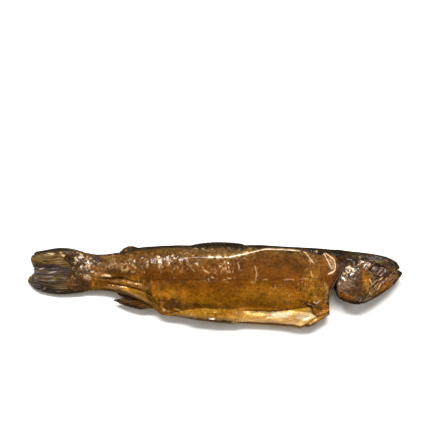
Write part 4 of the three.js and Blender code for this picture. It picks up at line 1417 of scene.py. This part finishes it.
def trunk_relief(sheet):
    """Heights in millimetres of folds, creases and wrinkles in the skin."""
    points, across = sheet.points, sheet.across
    x, y, _ = np.moveaxis(points, -1, 0)
    skin = ease(1.2, 1.0, across)
    grain = Grain(11)
    rough = 1 - 0.75 * calm_share(x, y)
    beads = 0.45 + 0.75 * grain(points + 90, (2.4, 1.7, 1.7))
    lift = 0.3 * grain(points, (22, 14, 14)) + rough * 0.14 * grain(points, (7, 5, 5))
    lift += rough * 0.07 * grain(points + 33, (1.9, 1.6, 1.6)) + fold_relief(x, y)

    # Wrinkles over the middle of the flank.
    wrinkled = within(x, -8, 10, 6) * within(y, 3, 19, 4)
    lift += (wrinkled * 0.25 * grain.creases(points, (5.5, 9, 9), 6) + ridges(x, y, TRUNK_WRINKLES)) * beads

    # The lateral line: a broken ridge over a groove, with pores along it.
    line = y - lateral_line(x)
    broken = 0.3 + 0.9 * np.maximum(grain(points + 7, (9, 30, 30)), 0)
    lift += within(x, -100, 88, 4) * broken * (0.3 * hill(line, 0.5, 0.6) - 0.4 * hill(line, -0.5, 0.5))
    pores = 0.5 + 0.5 * np.cos(2 * math.pi * x / PORE_PITCH)
    lift -= within(x, -96, 86, 4) * 0.25 * pores ** 3 * hill(line, 0, 0.45)

    # Faint bands on the lower flank, and blocks of muscle and crumpled skin under the back.
    bands = np.sin(2 * math.pi * (x + 0.6 * np.abs(y - 4) + 2 * grain(points + 60, 9)) / BAND_PITCH)
    lift += 0.03 * bands * within(y, -16, 1, 3) * within(x, 2, 84, 10)
    steps = (x + 0.35 * (y - 20) + 1.6 * grain(points + 15, 8)) / MUSCLE_PITCH
    lift += 0.1 * (steps - np.floor(steps)) * within(x, -76, -8, 8) * within(y, 13, 25, 3)
    crumpled = within(y, 10, 25, 4) * within(x, -86, -8, 6) * (0.4 + 0.6 * grain(points + 9, (5, 7, 7)))
    lift += 0.11 * crumpled * grain(points + 70, (1.7, 2.2, 2.2))

    # Rough skin at the tail's root, and ribs in the lining.
    root = ease(-90, -98, x)
    lift += root * (0.38 * grain(points + 25, (2.2, 2, 2)) + 0.3 * grain.creases(points, (5, 3, 3), 5))
    ribs = 0.3 * np.cos(2 * math.pi * (x + 0.4 * y) / RIB_PITCH) + 0.15 * grain(points, 3)
    inner = ease(1.2, 1.9, across) * ease(2, 6, y - belly_line(x))
    return lift * skin + (1 - skin) * ribs * inner


def flesh_rings(sheet):
    """Rings that close the trunk's front: the rim turns in and meets the flesh's middle."""
    ring = sheet.points[-1]
    x = ring[:, 0]
    share = trunk_share(x, ring[:, 1])
    side = np.sign(ring[:, 2] - trunk_middle(x, share))
    middle = ring.copy()
    for way in (NEAR, FAR):
        skin = trunk_point(way, "skin", share, x)[:, 2]
        lining = trunk_point(way, "lining", share, x)[:, 2]
        middle[:, 2] = np.where(side == way, (skin + lining) / 2, middle[:, 2])
    return np.array([ring + (middle - ring) * inward + (forward, 0, 0) for inward, forward in FLESH_TURN])


class TROUT_OT_trunk(Operator):
    """Add the trunk with its skin, belly lining and cut flesh"""

    bl_idname = "trout.trunk"
    bl_label = "Trunk"

    def execute(self, context):
        sheet = trunk_sheet()
        rear = sheet.points[:1].copy()
        rear[..., 2] += (trunk_axis(rear[..., 0]) - rear[..., 2]) * 0.6
        front = flesh_rings(sheet)
        marks = {
            name: np.concatenate([field[:1], field, *[field[-1:]] * len(front)])
            for name, field in sheet.marks.items()
        }
        across = np.concatenate([sheet.across[:1], sheet.across, np.full(front.shape[:2], FLESH_MARK)])
        whole = Sheet(np.concatenate([rear, sheet.points, front]), across, marks)

        def paint(mesh):
            """Each face's material: 0 for skin, 1 for lining and 2 for cut flesh."""
            marked = np.empty(len(mesh.vertices), np.float32)
            mesh.attributes["across"].data.foreach_get("value", marked)
            numbers = []
            for face in mesh.polygons:
                marks = [marked[i] for i in face.vertices]
                cut = max(marks) > (LINING_MARK + FLESH_MARK) / 2
                lined = min(marks) > (1 + LINING_MARK) / 2
                numbers.append(2 if cut else int(lined))
            return numbers

        inner = [flesh_material(name, "flesh") for name in ("belly_lining", "cured_flesh")]
        trunk = make_piece("trunk", [whole], [skin_material(), *inner], paint, 0.06)
        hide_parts(NODE)
        return {"FINISHED"}


def scale_places(side, pitch):
    """Rows and columns in the trunk's lattice, staggered like scales, on one side."""
    count = trunk_sheet().across.shape[1]
    first, last = (0, NEAR_SKIN - 1) if side == NEAR else (count - FAR_SKIN + 1, count)
    x = np.arange(TRUNK_REAR + 2, TRUNK_FRONT - 0.5, pitch)
    rows = np.interp(x, trunk_rows(), np.arange(ROWS))
    staggered = (np.arange(len(x)) % 2)[:, None]
    shares = (np.arange(SCALE_ROWS) + 0.5 * staggered + 0.4) / (SCALE_ROWS + 0.4)
    return np.repeat(rows, SCALE_ROWS), (first + shares * (last - first - 1)).ravel()


def make_scales(side, name):
    """The scales of one side, each a thin flat plate that leans a little on the next."""
    sizes = bpy.context.scene.trout_sizes
    sheet = trunk_sheet()
    row, column = scale_places(side, sizes.scale_pitch / MM)
    rng = np.random.default_rng(5 + side)
    row = row + rng.normal(0, 0.25, len(row))
    fields = (sheet.points, sheet.normals(), np.gradient(sheet.points, axis=0))
    points, facing, along = (sheet.blend(field, row, column) for field in fields)
    x, y = points[:, 0], points[:, 1]
    across = trunk_share(x, y)
    keep = (points[:, 2] > 1.0) & (across < 0.93) & (calm_share(x, y) < rng.uniform(0.3, 0.9, len(points)))
    for line, clear in BARE_LINES:
        keep &= np.abs(beside(x, y, line)[0]) > clear
    depth = (back_line(x) - belly_line(x)) / FULL_DEPTH
    long, lift = sizes.scale_length / MM, sizes.scale_lift / MM
    plates = joined(long, 0.9 * long * depth, lift)
    marks = {name: sheet.blend(field, row, column)[keep, 0] for name, field in sheet.marks.items()}
    marks["across"] = across[keep]
    settings = {
        "Sides": 6, "Top": 0.72, "Lean": math.radians(3.5), "Wobble": math.radians(2.5), "Vary": 0.12,
        "Seed": 3, "Smooth": False, "Material": skin_material(),
    }
    grow_studs(name, (points - facing * 0.8 * lift)[keep], facing[keep], along[keep], plates[keep],
               settings, marks)


class TROUT_OT_scales(Operator):
    """Add the scales of both sides"""

    bl_idname = "trout.scales"
    bl_label = "Scales"

    def execute(self, context):
        make_scales(NEAR, "scales_near")
        make_scales(FAR, "scales_far")
        return {"FINISHED"}


# --- the head


def section_sheet(span, grid, top, foot, half, rise, axis):
    """Closed sections across the fish over a span of x: down the near side and up the far one."""
    x = spaced(*span, grid[0], 0.3)[:, None]
    turn = 2 * math.pi * np.arange(grid[1]) / grid[1]
    share = (1 - np.cos(turn)) / 2
    side = np.where(np.sin(turn) >= 0, NEAR, FAR)
    y = top(x) + (foot(x) - top(x)) * share
    z = axis + side * np.maximum(half(x), 0.02) * rise(share)
    return Sheet(joined(x, y, np.maximum(z, 0)), np.broadcast_to(share, y.shape))


def skull_rise(t):
    return oval(t, 0.56) ** np.where(t < 0.56, 0.8, 0.3)


def jaw_rise(t):
    return oval(t, 0.42) ** np.where(t < 0.42, 0.3, 0.8)


def gill_rise(t):
    return oval(t, 0.42) ** 0.6


def head_height(x, y):
    """How far the head's near side stands out from its middle plane at (x, y)."""
    skull = skull_half(x) * skull_rise(share_down(x, y, back_line, skull_floor))
    jaw = jaw_half(x) * jaw_rise(share_down(x, y, jaw_top, chin_line)) - JAW_SUNK
    gill = gill_half(x) * gill_rise(share_down(x, y, gill_top, gill_foot)) - GILL_SUNK
    gill = np.where((x > GILL_REAR) & (x < GILL_FRONT), gill, 0)
    return np.maximum.reduce([skull, jaw, gill])


def eye_reach(x, y):
    """1 on the rim of the eye socket, less inside it and more outside."""
    dx, dy = x - EYE_X, y - EYE_Y
    long = dx * math.cos(EYE_TILT) + dy * math.sin(EYE_TILT)
    high = dy * math.cos(EYE_TILT) - dx * math.sin(EYE_TILT)
    return np.hypot(long / EYE_LONG, high / EYE_HIGH)


def head_relief(sheet):
    """The skull's relief: eye socket, nostril, crumpled temple, creased crown and cheek folds."""
    points = sheet.points
    x, y, _ = np.moveaxis(points, -1, 0)
    grain = Grain(23)
    lift = 0.25 * grain(points, (6, 5, 5)) + 0.12 * grain(points, (2.2, 2, 2))
    eye = eye_reach(x, y)
    socket = eye + 0.2 * grain(points + 60, 2.6)
    lift += 0.45 * hill(socket, 1.14, 0.16) - 1.8 * ease(1.02, 0.75, socket)
    behind = within(x, 114, 124, 2) * within(y, 14.5, 19.5, 1.5)
    lift += behind * (0.35 * grain(points + 30, (1.8, 1.5, 1.5)) + 0.3 * grain.creases(points + 4, 3, 5))
    crown = ease(15, 20, y)
    lift += crown * 0.16 * grain.creases(points + 12, (7, 3, 3), 5)
    lift += crown * 0.1 * grain(points + 80, (2.6, 1.5, 1.5))
    lift += ridges(x, y, each(CHEEK_FOLDS, 0.4, 0.6))
    nostril = np.hypot(x - NOSTRIL[0], (y - NOSTRIL[1]) * 1.3)
    return lift - 0.9 * hill(nostril, 0, 0.9) + 0.25 * hill(nostril, 1.5, 0.5)


def gill_relief(sheet):
    """The gill cover's relief: plate edges, crumpled silver skin, and bony rays in the throat membrane."""
    points = sheet.points
    x, y, _ = np.moveaxis(points, -1, 0)
    grain = Grain(31)
    lift = 0.2 * grain(points, (5, 5, 5)) + 0.12 * grain(points + 50, 1.6)
    lift += ridge(x, y, PREOPERCLE, 0.8, 1.1) + ridge(x, y, SUBOPERCLE_SEAM, -0.3, 0.8)
    crumpled = within(x, 98, 111, 2) * (0.25 + 0.75 * within(y, 5, 17, 3))
    lift += crumpled * 0.5 * grain.creases(points, (3.2, 3.4, 3.4), 4)
    lift += crumpled * 0.3 * grain(points + 5, (1.7, 1.6, 1.6))
    lift += ridges(x, y, ((crest, 0.4, 0.6) for crest, *_ in GILL_HIGHLIGHT_CRESTS))
    rays = np.cos(2 * math.pi * (x + 0.5 * y) / MEMBRANE_RAY_PITCH)
    return lift + 0.22 * rays * ease(-7, -10, y)


def jaw_relief(sheet):
    """Long ridges and grooves that run back along the lower jaw."""
    points = sheet.points
    x, y, _ = np.moveaxis(points, -1, 0)
    share = (jaw_top(x) - y) / np.maximum(jaw_top(x) - chin_line(x), 0.2)
    grain = Grain(37)
    streaks = np.cos(2 * math.pi * (JAW_STREAKS * share + 0.9 * grain(points, (7, 3, 3))))
    return 0.16 * streaks * within(share, 0.12, 0.85, 0.1) + 0.12 * grain(points, (4, 1.4, 1.4))


def gill_sheet():
    """The U of both gill covers and the membrane under the throat, with its inner wall."""
    x = spaced(GILL_REAR, GILL_FRONT, GILL_GRID[0], 0.4)[:, None]
    down = spaced(0.02, 1, GILL_GRID[1], 0.5)
    outer = np.concatenate([down, down[-2::-1]])
    side = np.where(np.arange(len(outer)) < len(down), NEAR, FAR)
    walls = []
    for wall, shares, sides in ((0.0, outer, side), (GILL_WALL, outer[::-1], side[::-1])):
        top = gill_top(x)
        foot = gill_foot(x) + wall
        half = np.maximum(gill_half(x) - wall, 0.2)
        y = top + (foot - top) * shares
        z = GILL_AXIS + sides * half * gill_rise(shares)
        walls.append(joined(x, y, np.maximum(z, 0)))
    points = np.concatenate(walls, 1)
    across = np.concatenate([outer, np.full(len(outer), LINING_MARK)])
    return Sheet(points, np.broadcast_to(across, points.shape[:2]).copy())


class TROUT_OT_skull(Operator):
    """Add the skull and the lower jaw"""

    bl_idname = "trout.skull"
    bl_label = "Skull and jaw"

    def execute(self, context):
        bone = head_material()
        skull = section_sheet(SKULL_SPAN, SKULL_GRID, back_line, skull_floor, skull_half, skull_rise,
                              HEAD_AXIS)
        skull.marks["crest"] = highlight_crest_share(skull.points, HEAD_HIGHLIGHT_CRESTS)
        make_piece("skull", [skull.emboss(head_relief(skull))], [bone])
        jaw = section_sheet(JAW_SPAN, JAW_GRID, jaw_top, chin_line, jaw_half, jaw_rise, JAW_AXIS)
        make_piece("lower_jaw", [jaw.emboss(jaw_relief(jaw))], [bone])
        return {"FINISHED"}


class TROUT_OT_gill_covers(Operator):
    """Add the gill covers"""

    bl_idname = "trout.gill_covers"
    bl_label = "Gill covers"

    def execute(self, context):
        gills = gill_sheet()
        outer = ease(1.5, 1.2, gills.across)
        highlight_crests = highlight_crest_share(gills.points, GILL_HIGHLIGHT_CRESTS)
        gills.marks["crest"] = np.maximum(highlight_crests, crinkle_glint_share(gills.points, GILL_CRINKLE_GLINTS)) * outer
        gills.emboss(gill_relief(gills) * outer)
        make_piece("gill_covers", [gills], [head_material()])
        return {"FINISHED"}


class TROUT_OT_gills(Operator):
    """Add the gill arches, their filaments and the tissue behind them"""

    bl_idname = "trout.gills"
    bl_label = "Gills"

    def execute(self, context):
        dark = flesh_material("dried_gills", "gill", 0.22)
        tissue = section_sheet(TISSUE_SPAN, TISSUE_GRID, tissue_top, tissue_foot, tissue_half, gill_rise,
                               GILL_AXIS)
        lumps = Grain(53)(tissue.points, (3, 2.5, 2.5))
        make_piece("shoulder_tissue", [tissue.emboss(0.6 * lumps)], [dark])
        lines, facing, along = [], [], []
        for side in (NEAR, FAR):
            for number in range(context.scene.trout_sizes.gill_arches):
                turn = np.linspace(0.1, math.pi - 0.1, ARCH_POINTS)
                x = ARCH_X + ARCH_PITCH * number - ARCH_BOW * np.sin(turn)
                y = ARCH_Y + ARCH_HALF * np.cos(turn)
                z = GILL_AXIS + side * (ARCH_OUT - 1.3 * number) * np.sin(turn) ** 0.5
                line = joined(x, y, z)
                lines.append((line, 0.75))
                facing.append(unit(joined(-1, 0.3 * np.cos(turn), side * 0.5)))
                along.append(np.gradient(line, axis=0))
        grow_cords("gill_arches", lines, dark)
        roots, facing, along = (np.concatenate(p) for p in ([line for line, _ in lines], facing, along))
        blades = np.broadcast_to(FILAMENT, roots.shape)
        settings = {
            "Sides": 5, "Top": 0.3, "Wobble": math.radians(7), "Vary": 0.2, "Seed": 8, "Material": dark,
        }
        grow_studs("gill_filaments", roots, facing, along, blades, settings)
        return {"FINISHED"}


def swelling(most):
    """A half width or height that swells from the ends of a line to its middle."""
    return lambda share: 0.1 + most * np.sin(math.pi * share)


def draped_sheet(line, width, height, side, count=40, columns=14):
    """A blade that lies on the head's side along a line: width and height by share of the way along."""
    middle = on_line(line, np.linspace(0, 1, count))
    way = unit(np.gradient(middle, axis=0))
    left = np.stack([-way[:, 1], way[:, 0]], 1)
    share = np.linspace(0, 1, count)
    turn = 2 * math.pi * np.arange(columns) / columns
    reach = np.cos(turn)[None, :] * width(share)[:, None]
    place = middle[:, None, :] + left[:, None, :] * reach[..., None]
    rise = np.sin(turn)[None, :] * height(share)[:, None]
    z = head_height(place[..., 0], place[..., 1]) + rise
    points = np.concatenate([place, (HEAD_AXIS + side * z)[..., None]], -1)
    return Sheet(points[:, ::side])


class TROUT_OT_maxillae(Operator):
    """Add the upper jaw's side bones and the cheek folds"""

    bl_idname = "trout.maxillae"
    bl_label = "Maxillae"

    def execute(self, context):
        for side, label in SIDES:
            sheet = draped_sheet(MAXILLA, lambda t: 0.5 + 1.1 * t ** 0.6, lambda t: 0.45 + 0.15 * t, side)
            make_piece(f"maxilla_{label}", [sheet], [head_material()])
            folds = [draped_sheet(line, swelling(0.28), swelling(0.3), side, 24, 8) for line in HIGHLIGHTED_FOLDS]
            # The cheek folds are painted with highlight along their whole length.
            for fold in folds:
                fold.marks["crest"] = np.full(fold.across.shape, 0.7)
            make_piece(f"cheek_folds_{label}", folds, [head_material()])
        return {"FINISHED"}


class TROUT_OT_eyes(Operator):
    """Add both clouded eyes"""

    bl_idname = "trout.eyes"
    bl_label = "Eyes"

    def execute(self, context):
        clouded = eye_material()
        for side, label in SIDES:
            radius = np.append(np.linspace(0.02, 1, EYE_GRID[0]), 0.9)[:, None]
            turn = np.linspace(0, 2 * math.pi, EYE_GRID[1], endpoint=False)
            long = EYE_LONG * EYE_FILL * radius * np.cos(turn)
            high = EYE_HIGH * EYE_FILL * radius * np.sin(turn)
            x = EYE_X + long * math.cos(EYE_TILT) - high * math.sin(EYE_TILT)
            y = EYE_Y + high * math.cos(EYE_TILT) + long * math.sin(EYE_TILT)
            dome = 0.3 * (1 - radius ** 2) + 0.9 * hill(np.hypot(x - LENS[0], y - LENS[1]), 0, 2.3)
            dome += 0.3 * Grain(59)(joined(x, y, 0), 1.7)
            dome -= 0.9 * hill(np.hypot(x - EYE_PIT[0], y - EYE_PIT[1]), 0, 2.0)
            dome += ridges(x, y, each(EYE_FOLDS, 0.6, 0.7, 0.2))
            dome[-1] = -2
            level = head_height(EYE_X, EYE_Y)
            level += (head_height(x, y) - level) * 0.6 - EYE_SUNK
            z = HEAD_AXIS + side * (level + dome)
            make_piece(f"eye_{label}", [Sheet(joined(x, y, z)[:, ::-side])], [clouded])
        return {"FINISHED"}


class TROUT_OT_teeth(Operator):
    """Add the teeth of both jaws"""

    bl_idname = "trout.teeth"
    bl_label = "Teeth"

    def execute(self, context):
        count = context.scene.trout_sizes.teeth
        x = np.linspace(*TEETH_SPAN, count)
        roots, facing = [], []
        for side in (NEAR, FAR):
            inside = side * 0.86
            upper_z = HEAD_AXIS + inside * skull_half(x) * skull_rise(np.full(count, 0.97))
            lower_z = JAW_AXIS + inside * jaw_half(x) * jaw_rise(np.full(count, 0.04))
            roots.append(joined(x, skull_floor(x) + 0.1, upper_z))
            facing.append(joined(0 * x - 0.3, -1, 0.25 * side))
            roots.append(joined(x + 0.7, jaw_top(x) - 0.1, lower_z))
            facing.append(joined(0 * x - 0.4, 1, 0.2 * side))
        roots, facing = np.concatenate(roots), unit(np.concatenate(facing))
        along = np.broadcast_to((1.0, 0.0, 0.0), roots.shape)
        settings = {
            "Sides": 8, "Top": 0.15, "Wobble": math.radians(8), "Vary": 0.25, "Seed": 4,
            "Material": flesh_material("tooth", "bone", 0.2),
        }
        grow_studs("teeth", roots, facing, along, np.broadcast_to(TOOTH, roots.shape), settings)
        return {"FINISHED"}


# --- the fins


def fin_lattice(rows, columns):
    """Shares of the way out and across, and the side, round a closed fin."""
    near = spaced(0, 1, columns, 0.3)
    share = np.concatenate([near, near[-2:0:-1]])
    side = np.concatenate([np.full(columns, NEAR), np.full(columns - 2, FAR)])
    return np.broadcast_arrays(spaced(0, 1, rows, 0.4)[:, None], share, side)


@dataclasses.dataclass
class Fin:
    """A thin fin between a root line and a margin line, with rays that run from one to the other."""

    root: tuple
    margin: tuple
    height: object  # gives the height of the fin's middle at (x, y)
    thick: tuple  # half thickness at the root and at the margin
    rays: int

    def place(self, out, share):
        """The fin's middle, out of the way from the root to the margin and share of the way across."""
        root, margin = on_line(self.root, share), on_line(self.margin, share)
        x, y = np.moveaxis(root + (margin - root) * out[..., None], -1, 0)
        return joined(x, y, self.height(x, y))

    def sheet(self):
        out, share, side = fin_lattice(*FIN_GRID)
        comb = np.cos(2 * math.pi * self.rays * share)
        middle = self.place(out * (1 - 0.05 * (0.5 - 0.5 * comb)), share)
        half = (self.thick[0] * (1 - out) + self.thick[1] * out) * plate(share, 8) * (0.75 + 0.25 * comb)
        middle[..., 2] += side * half * np.sqrt(np.maximum(1 - out ** 8, 0.02))
        return Sheet(middle, share, {"relief": 0.25 * comb})

    def ray_lines(self, radii):
        """Each ray's points and radii."""
        out = np.linspace(0, 1, 12)
        return [
            (self.place(out, np.full(len(out), (i + 0.5) / self.rays)), np.linspace(*radii, len(out)))
            for i in range(self.rays)
        ]


def upright(drop):
    """A height that keeps a fin in the fish's middle plane, or drop below it."""
    return lambda x, y: trunk_axis(x) - drop


def on_flank(side, lift):
    """A height that keeps a fin lying on one flank."""
    def height(x, y):
        share = np.clip(trunk_share(x, y), 0, 0.97)
        return trunk_point(side, "skin", share, x)[..., 2] + side * lift
    return height


def fin_list():
    """Every fin but the tail: name, its lobes, and its rays' radii."""
    dorsal = Fin(
        ((27, 28.6), (10, 28.8), (-16, 29)), ((22, 32.8), (13, 33.9), (0, 34.2), (-12, 33.2), (-23, 30.8)),
        upright(0), (1, 0.8), 13,
    )
    front = Fin(
        ((-46, -18.6), (-54, -12.4), (-63, -7.6)),
        ((-60, -20.2), (-70, -18), (-78, -15.2), (-81.9, -12.7), (-76, -11.7), (-69.6, -11)),
        upright(1.2), (1.4, 0.4), 8,
    )
    rear = Fin(
        ((-63, -9.6), (-70, -6.8), (-77, -4.8)), ((-69, -11.4), (-74, -10.6), (-77.8, -8.4), (-79.4, -5.8)),
        upright(1.2), (1.2, 0.4), 5,
    )
    adipose = Fin(
        ((-58, 27.6), (-66, 26), (-74, 24.4)), ((-62, 29.8), (-67, 31), (-72, 30), (-76.6, 26.4)),
        upright(0), (1.9, 1.1), 4,
    )
    fins = [
        ("dorsal_fin", [dorsal], (0.55, 0.2)), ("anal_fin", [front, rear], (0.6, 0.2)),
        ("adipose_fin", [adipose], None),
    ]
    for side, label in SIDES:
        pelvic = Fin(
            ((3, -28.6), (6, -29.4), (5, -30.2)), ((-18, -26.6), (-24, -26.6), (-14, -28.4)),
            on_flank(side, 0.4), (0.8, 0.3), 8,
        )
        pectoral = Fin(
            ((86.6, -14.4), (90.8, -16.8), (90.4, -20.8), (86, -23.8)),
            ((78.6, -15.8), (76.6, -19), (77.6, -22.4), (80.4, -24.8)), on_flank(side, 0.7), (1.5, 0.5), 7,
        )
        fins.append((f"pelvic_fin_{label}", [pelvic], (0.4, 0.16)))
        fins.append((f"pectoral_fin_{label}", [pectoral], (0.4, 0.2)))
    return fins


def tail_wave(x, share):
    """How far the dried tail fin is crinkled out of its plane."""
    place = joined(x, share * 34, 0)
    grain = Grain(47)
    out = ease(-108, -124, x)
    slow = 0.6 * np.sin(2 * math.pi * (share * 1.6 + 0.1)) + 0.5 * grain(place, (16, 6, 1))
    bundles = np.sin(2 * math.pi * (TAIL_BUNDLES * share + 0.4 * grain(place + 20, (18, 8, 1))))
    return out * (slow + 0.26 * bundles * (0.6 + 0.7 * grain(place + 50, (9, 4, 1))))


def tail_place(x, share):
    """The middle of the tail fin."""
    top, foot = tail_top(x), tail_foot(x)
    return joined(x, top + (foot - top) * share, tail_axis(x) + tail_wave(x, share))


def tail_sheet(rays):
    """The tail fin, with a ragged margin that the rays comb."""
    out, share, side = fin_lattice(*TAIL_GRID)
    comb = 0.5 - 0.5 * np.cos(2 * math.pi * rays * share)
    tattered = Grain(41)(joined(share * 60, 0, 0), 1)
    end = tail_margin(share) + 0.9 * comb + 0.8 * tattered
    x = TAIL_SHEET_ROOT + (end - TAIL_SHEET_ROOT) * out
    middle = tail_place(x, share)
    half = tail_half(x) * plate(share, 10) * (0.7 - 0.3 * comb)
    middle[..., 2] += side * half * np.sqrt(np.maximum(1 - out ** 10, 0.02))
    return Sheet(middle, share, {"relief": 0.5 * side * tail_wave(x, share) - 0.2 * comb})


def tail_ray_lines(rays):
    """Each tail ray, and the two branches that it splits into."""
    lines = []
    rng = np.random.default_rng(43)
    for i in range(rays):
        share = (i + 0.5) / rays
        split = TAIL_SPLIT + rng.uniform(-3, 3)
        x = np.linspace(-106, split, 12)
        lines.append((tail_place(x, np.full(12, share)), np.linspace(1.3, 0.7, 12)))
        for branch in (-0.28, 0.28):
            end = tail_margin(share) + rng.uniform(0, 1.2)
            x = np.linspace(split + 1, end, 16)
            spread = share + branch / rays * ease(split, end, x)
            lines.append((tail_place(x, spread), np.linspace(0.6, 0.28, 16)))
    return lines


class TROUT_OT_tail(Operator):
    """Add the tail fin and its rays"""

    bl_idname = "trout.tail"
    bl_label = "Tail fin"

    def execute(self, context):
        rays = context.scene.trout_sizes.tail_rays
        make_piece("tail_fin", [tail_sheet(rays)], [fin_material()])
        grow_cords("tail_rays", tail_ray_lines(rays), fin_material())
        return {"FINISHED"}


class TROUT_OT_fins(Operator):
    """Add the dorsal, adipose, anal, pelvic and pectoral fins"""

    bl_idname = "trout.fins"
    bl_label = "Fins"

    def execute(self, context):
        for name, lobes, radii in fin_list():
            finish = skin_material() if name.startswith("pectoral") else fin_material()
            sheets = [lobe.sheet() for lobe in lobes]
            if name.startswith("pectoral"):
                for sheet in sheets:
                    sheet.across = np.full(sheet.across.shape, 0.6)
                    sheet.marks["collar"] = np.full(sheet.across.shape, MARK_CLEAR)
                    sheet.marks["flap"] = np.full(sheet.across.shape, -MARK_CLEAR)
            make_piece(name, sheets, [finish])
            if radii:
                lines = [line for lobe in lobes for line in lobe.ray_lines(radii)]
                grow_cords(f"{name}_rays", lines, finish)
        return {"FINISHED"}


# --- the stage


def face(thing, place, target):
    """Puts a lamp or camera at place, facing target, with +Y up in its view."""
    back = (Vector(place) - Vector(target)).normalized()
    right = Vector((0, 1, 0)).cross(back).normalized()
    turn = Matrix((right, back.cross(right), back)).transposed()
    thing.matrix_world = Matrix.Translation(place) @ turn.to_4x4()


def add_lamps(settings):
    """Rectangular lamps that face the fish's middle."""
    for name, place, size, power_name in LAMPS:
        data = bpy.data.lights.new(name, "AREA")
        data.shape = "RECTANGLE"
        data.size, data.size_y = size
        data.energy = getattr(settings, power_name)
        lamp = bpy.data.objects.new(name, data)
        bpy.context.scene.collection.objects.link(lamp)
        face(lamp, place, (0, 0, 0))
        if name == "ceiling":
            data.color = WARM
            lamp.visible_glossy = False


class TROUT_OT_stage(Operator):
    """Add the table, the lamps and the camera"""

    bl_idname = "trout.stage"
    bl_label = "Stage"

    def execute(self, context):
        scene = bpy.context.scene
        settings = scene.trout_stage
        scene.view_settings.view_transform = "Standard"
        world = bpy.data.worlds.new("studio")
        scene.world = world
        world.use_nodes = True
        background = world.node_tree.nodes["Background"]
        background.inputs["Color"].default_value = (1, 1, 1, 1)
        background.inputs["Strength"].default_value = settings.haze
        corners = ((-1, -1), (1, -1), (1, 1), (-1, 1))
        points = [(x * TABLE_HALF, y * TABLE_HALF, TABLE_TOP) for x, y in corners]
        table = new_object("table", points, faces=[(0, 1, 2, 3)])
        paper = Finish("paper")
        paper.colour = settings.table
        table.data.materials.append(paper.end({"Roughness": 0.9}))
        table.visible_glossy = False
        add_lamps(settings)
        data = bpy.data.cameras.new("camera")
        data.lens = settings.lens
        camera = bpy.data.objects.new("camera", data)
        scene.collection.objects.link(camera)
        x, y = (value * MM for value in VIEW_MIDDLE)
        face(camera, (x, y, settings.camera_height), (x, y, 0))
        scene.camera = camera
        return {"FINISHED"}


# --- the add-on


OPERATORS = (
    TROUT_OT_trunk, TROUT_OT_scales, TROUT_OT_skull, TROUT_OT_gill_covers, TROUT_OT_gills,
    TROUT_OT_maxillae, TROUT_OT_eyes, TROUT_OT_teeth, TROUT_OT_tail, TROUT_OT_fins, TROUT_OT_stage,
)
SETTINGS = {"trout_sizes": TroutSizes, "trout_colours": TroutColours, "trout_stage": TroutStage}


class TROUT_PT_panel(Panel):
    """Sizes, colours and one button for each piece"""

    bl_label = "Smoked Trout"
    bl_idname = "TROUT_PT_panel"
    bl_space_type = "VIEW_3D"
    bl_region_type = "UI"
    bl_category = "Smoked Trout"

    def draw(self, context):
        for group in SETTINGS:
            settings = getattr(context.scene, group)
            box = self.layout.box()
            for name in settings.__annotations__:
                box.prop(settings, name)
        for operator in OPERATORS:
            self.layout.operator(operator.bl_idname)


def register():
    for group, kind in SETTINGS.items():
        bpy.utils.register_class(kind)
        setattr(bpy.types.Scene, group, PointerProperty(type=kind))
    for kind in (*OPERATORS, TROUT_PT_panel):
        bpy.utils.register_class(kind)


def unregister():
    for kind in (TROUT_PT_panel, *reversed(OPERATORS)):
        bpy.utils.unregister_class(kind)
    for group, kind in reversed(SETTINGS.items()):
        delattr(bpy.types.Scene, group)
        bpy.utils.unregister_class(kind)


def main():
    register()
    for operator in OPERATORS:
        getattr(bpy.ops.trout, operator.bl_idname.partition(".")[2])()


if __name__ == "__main__":
    main()
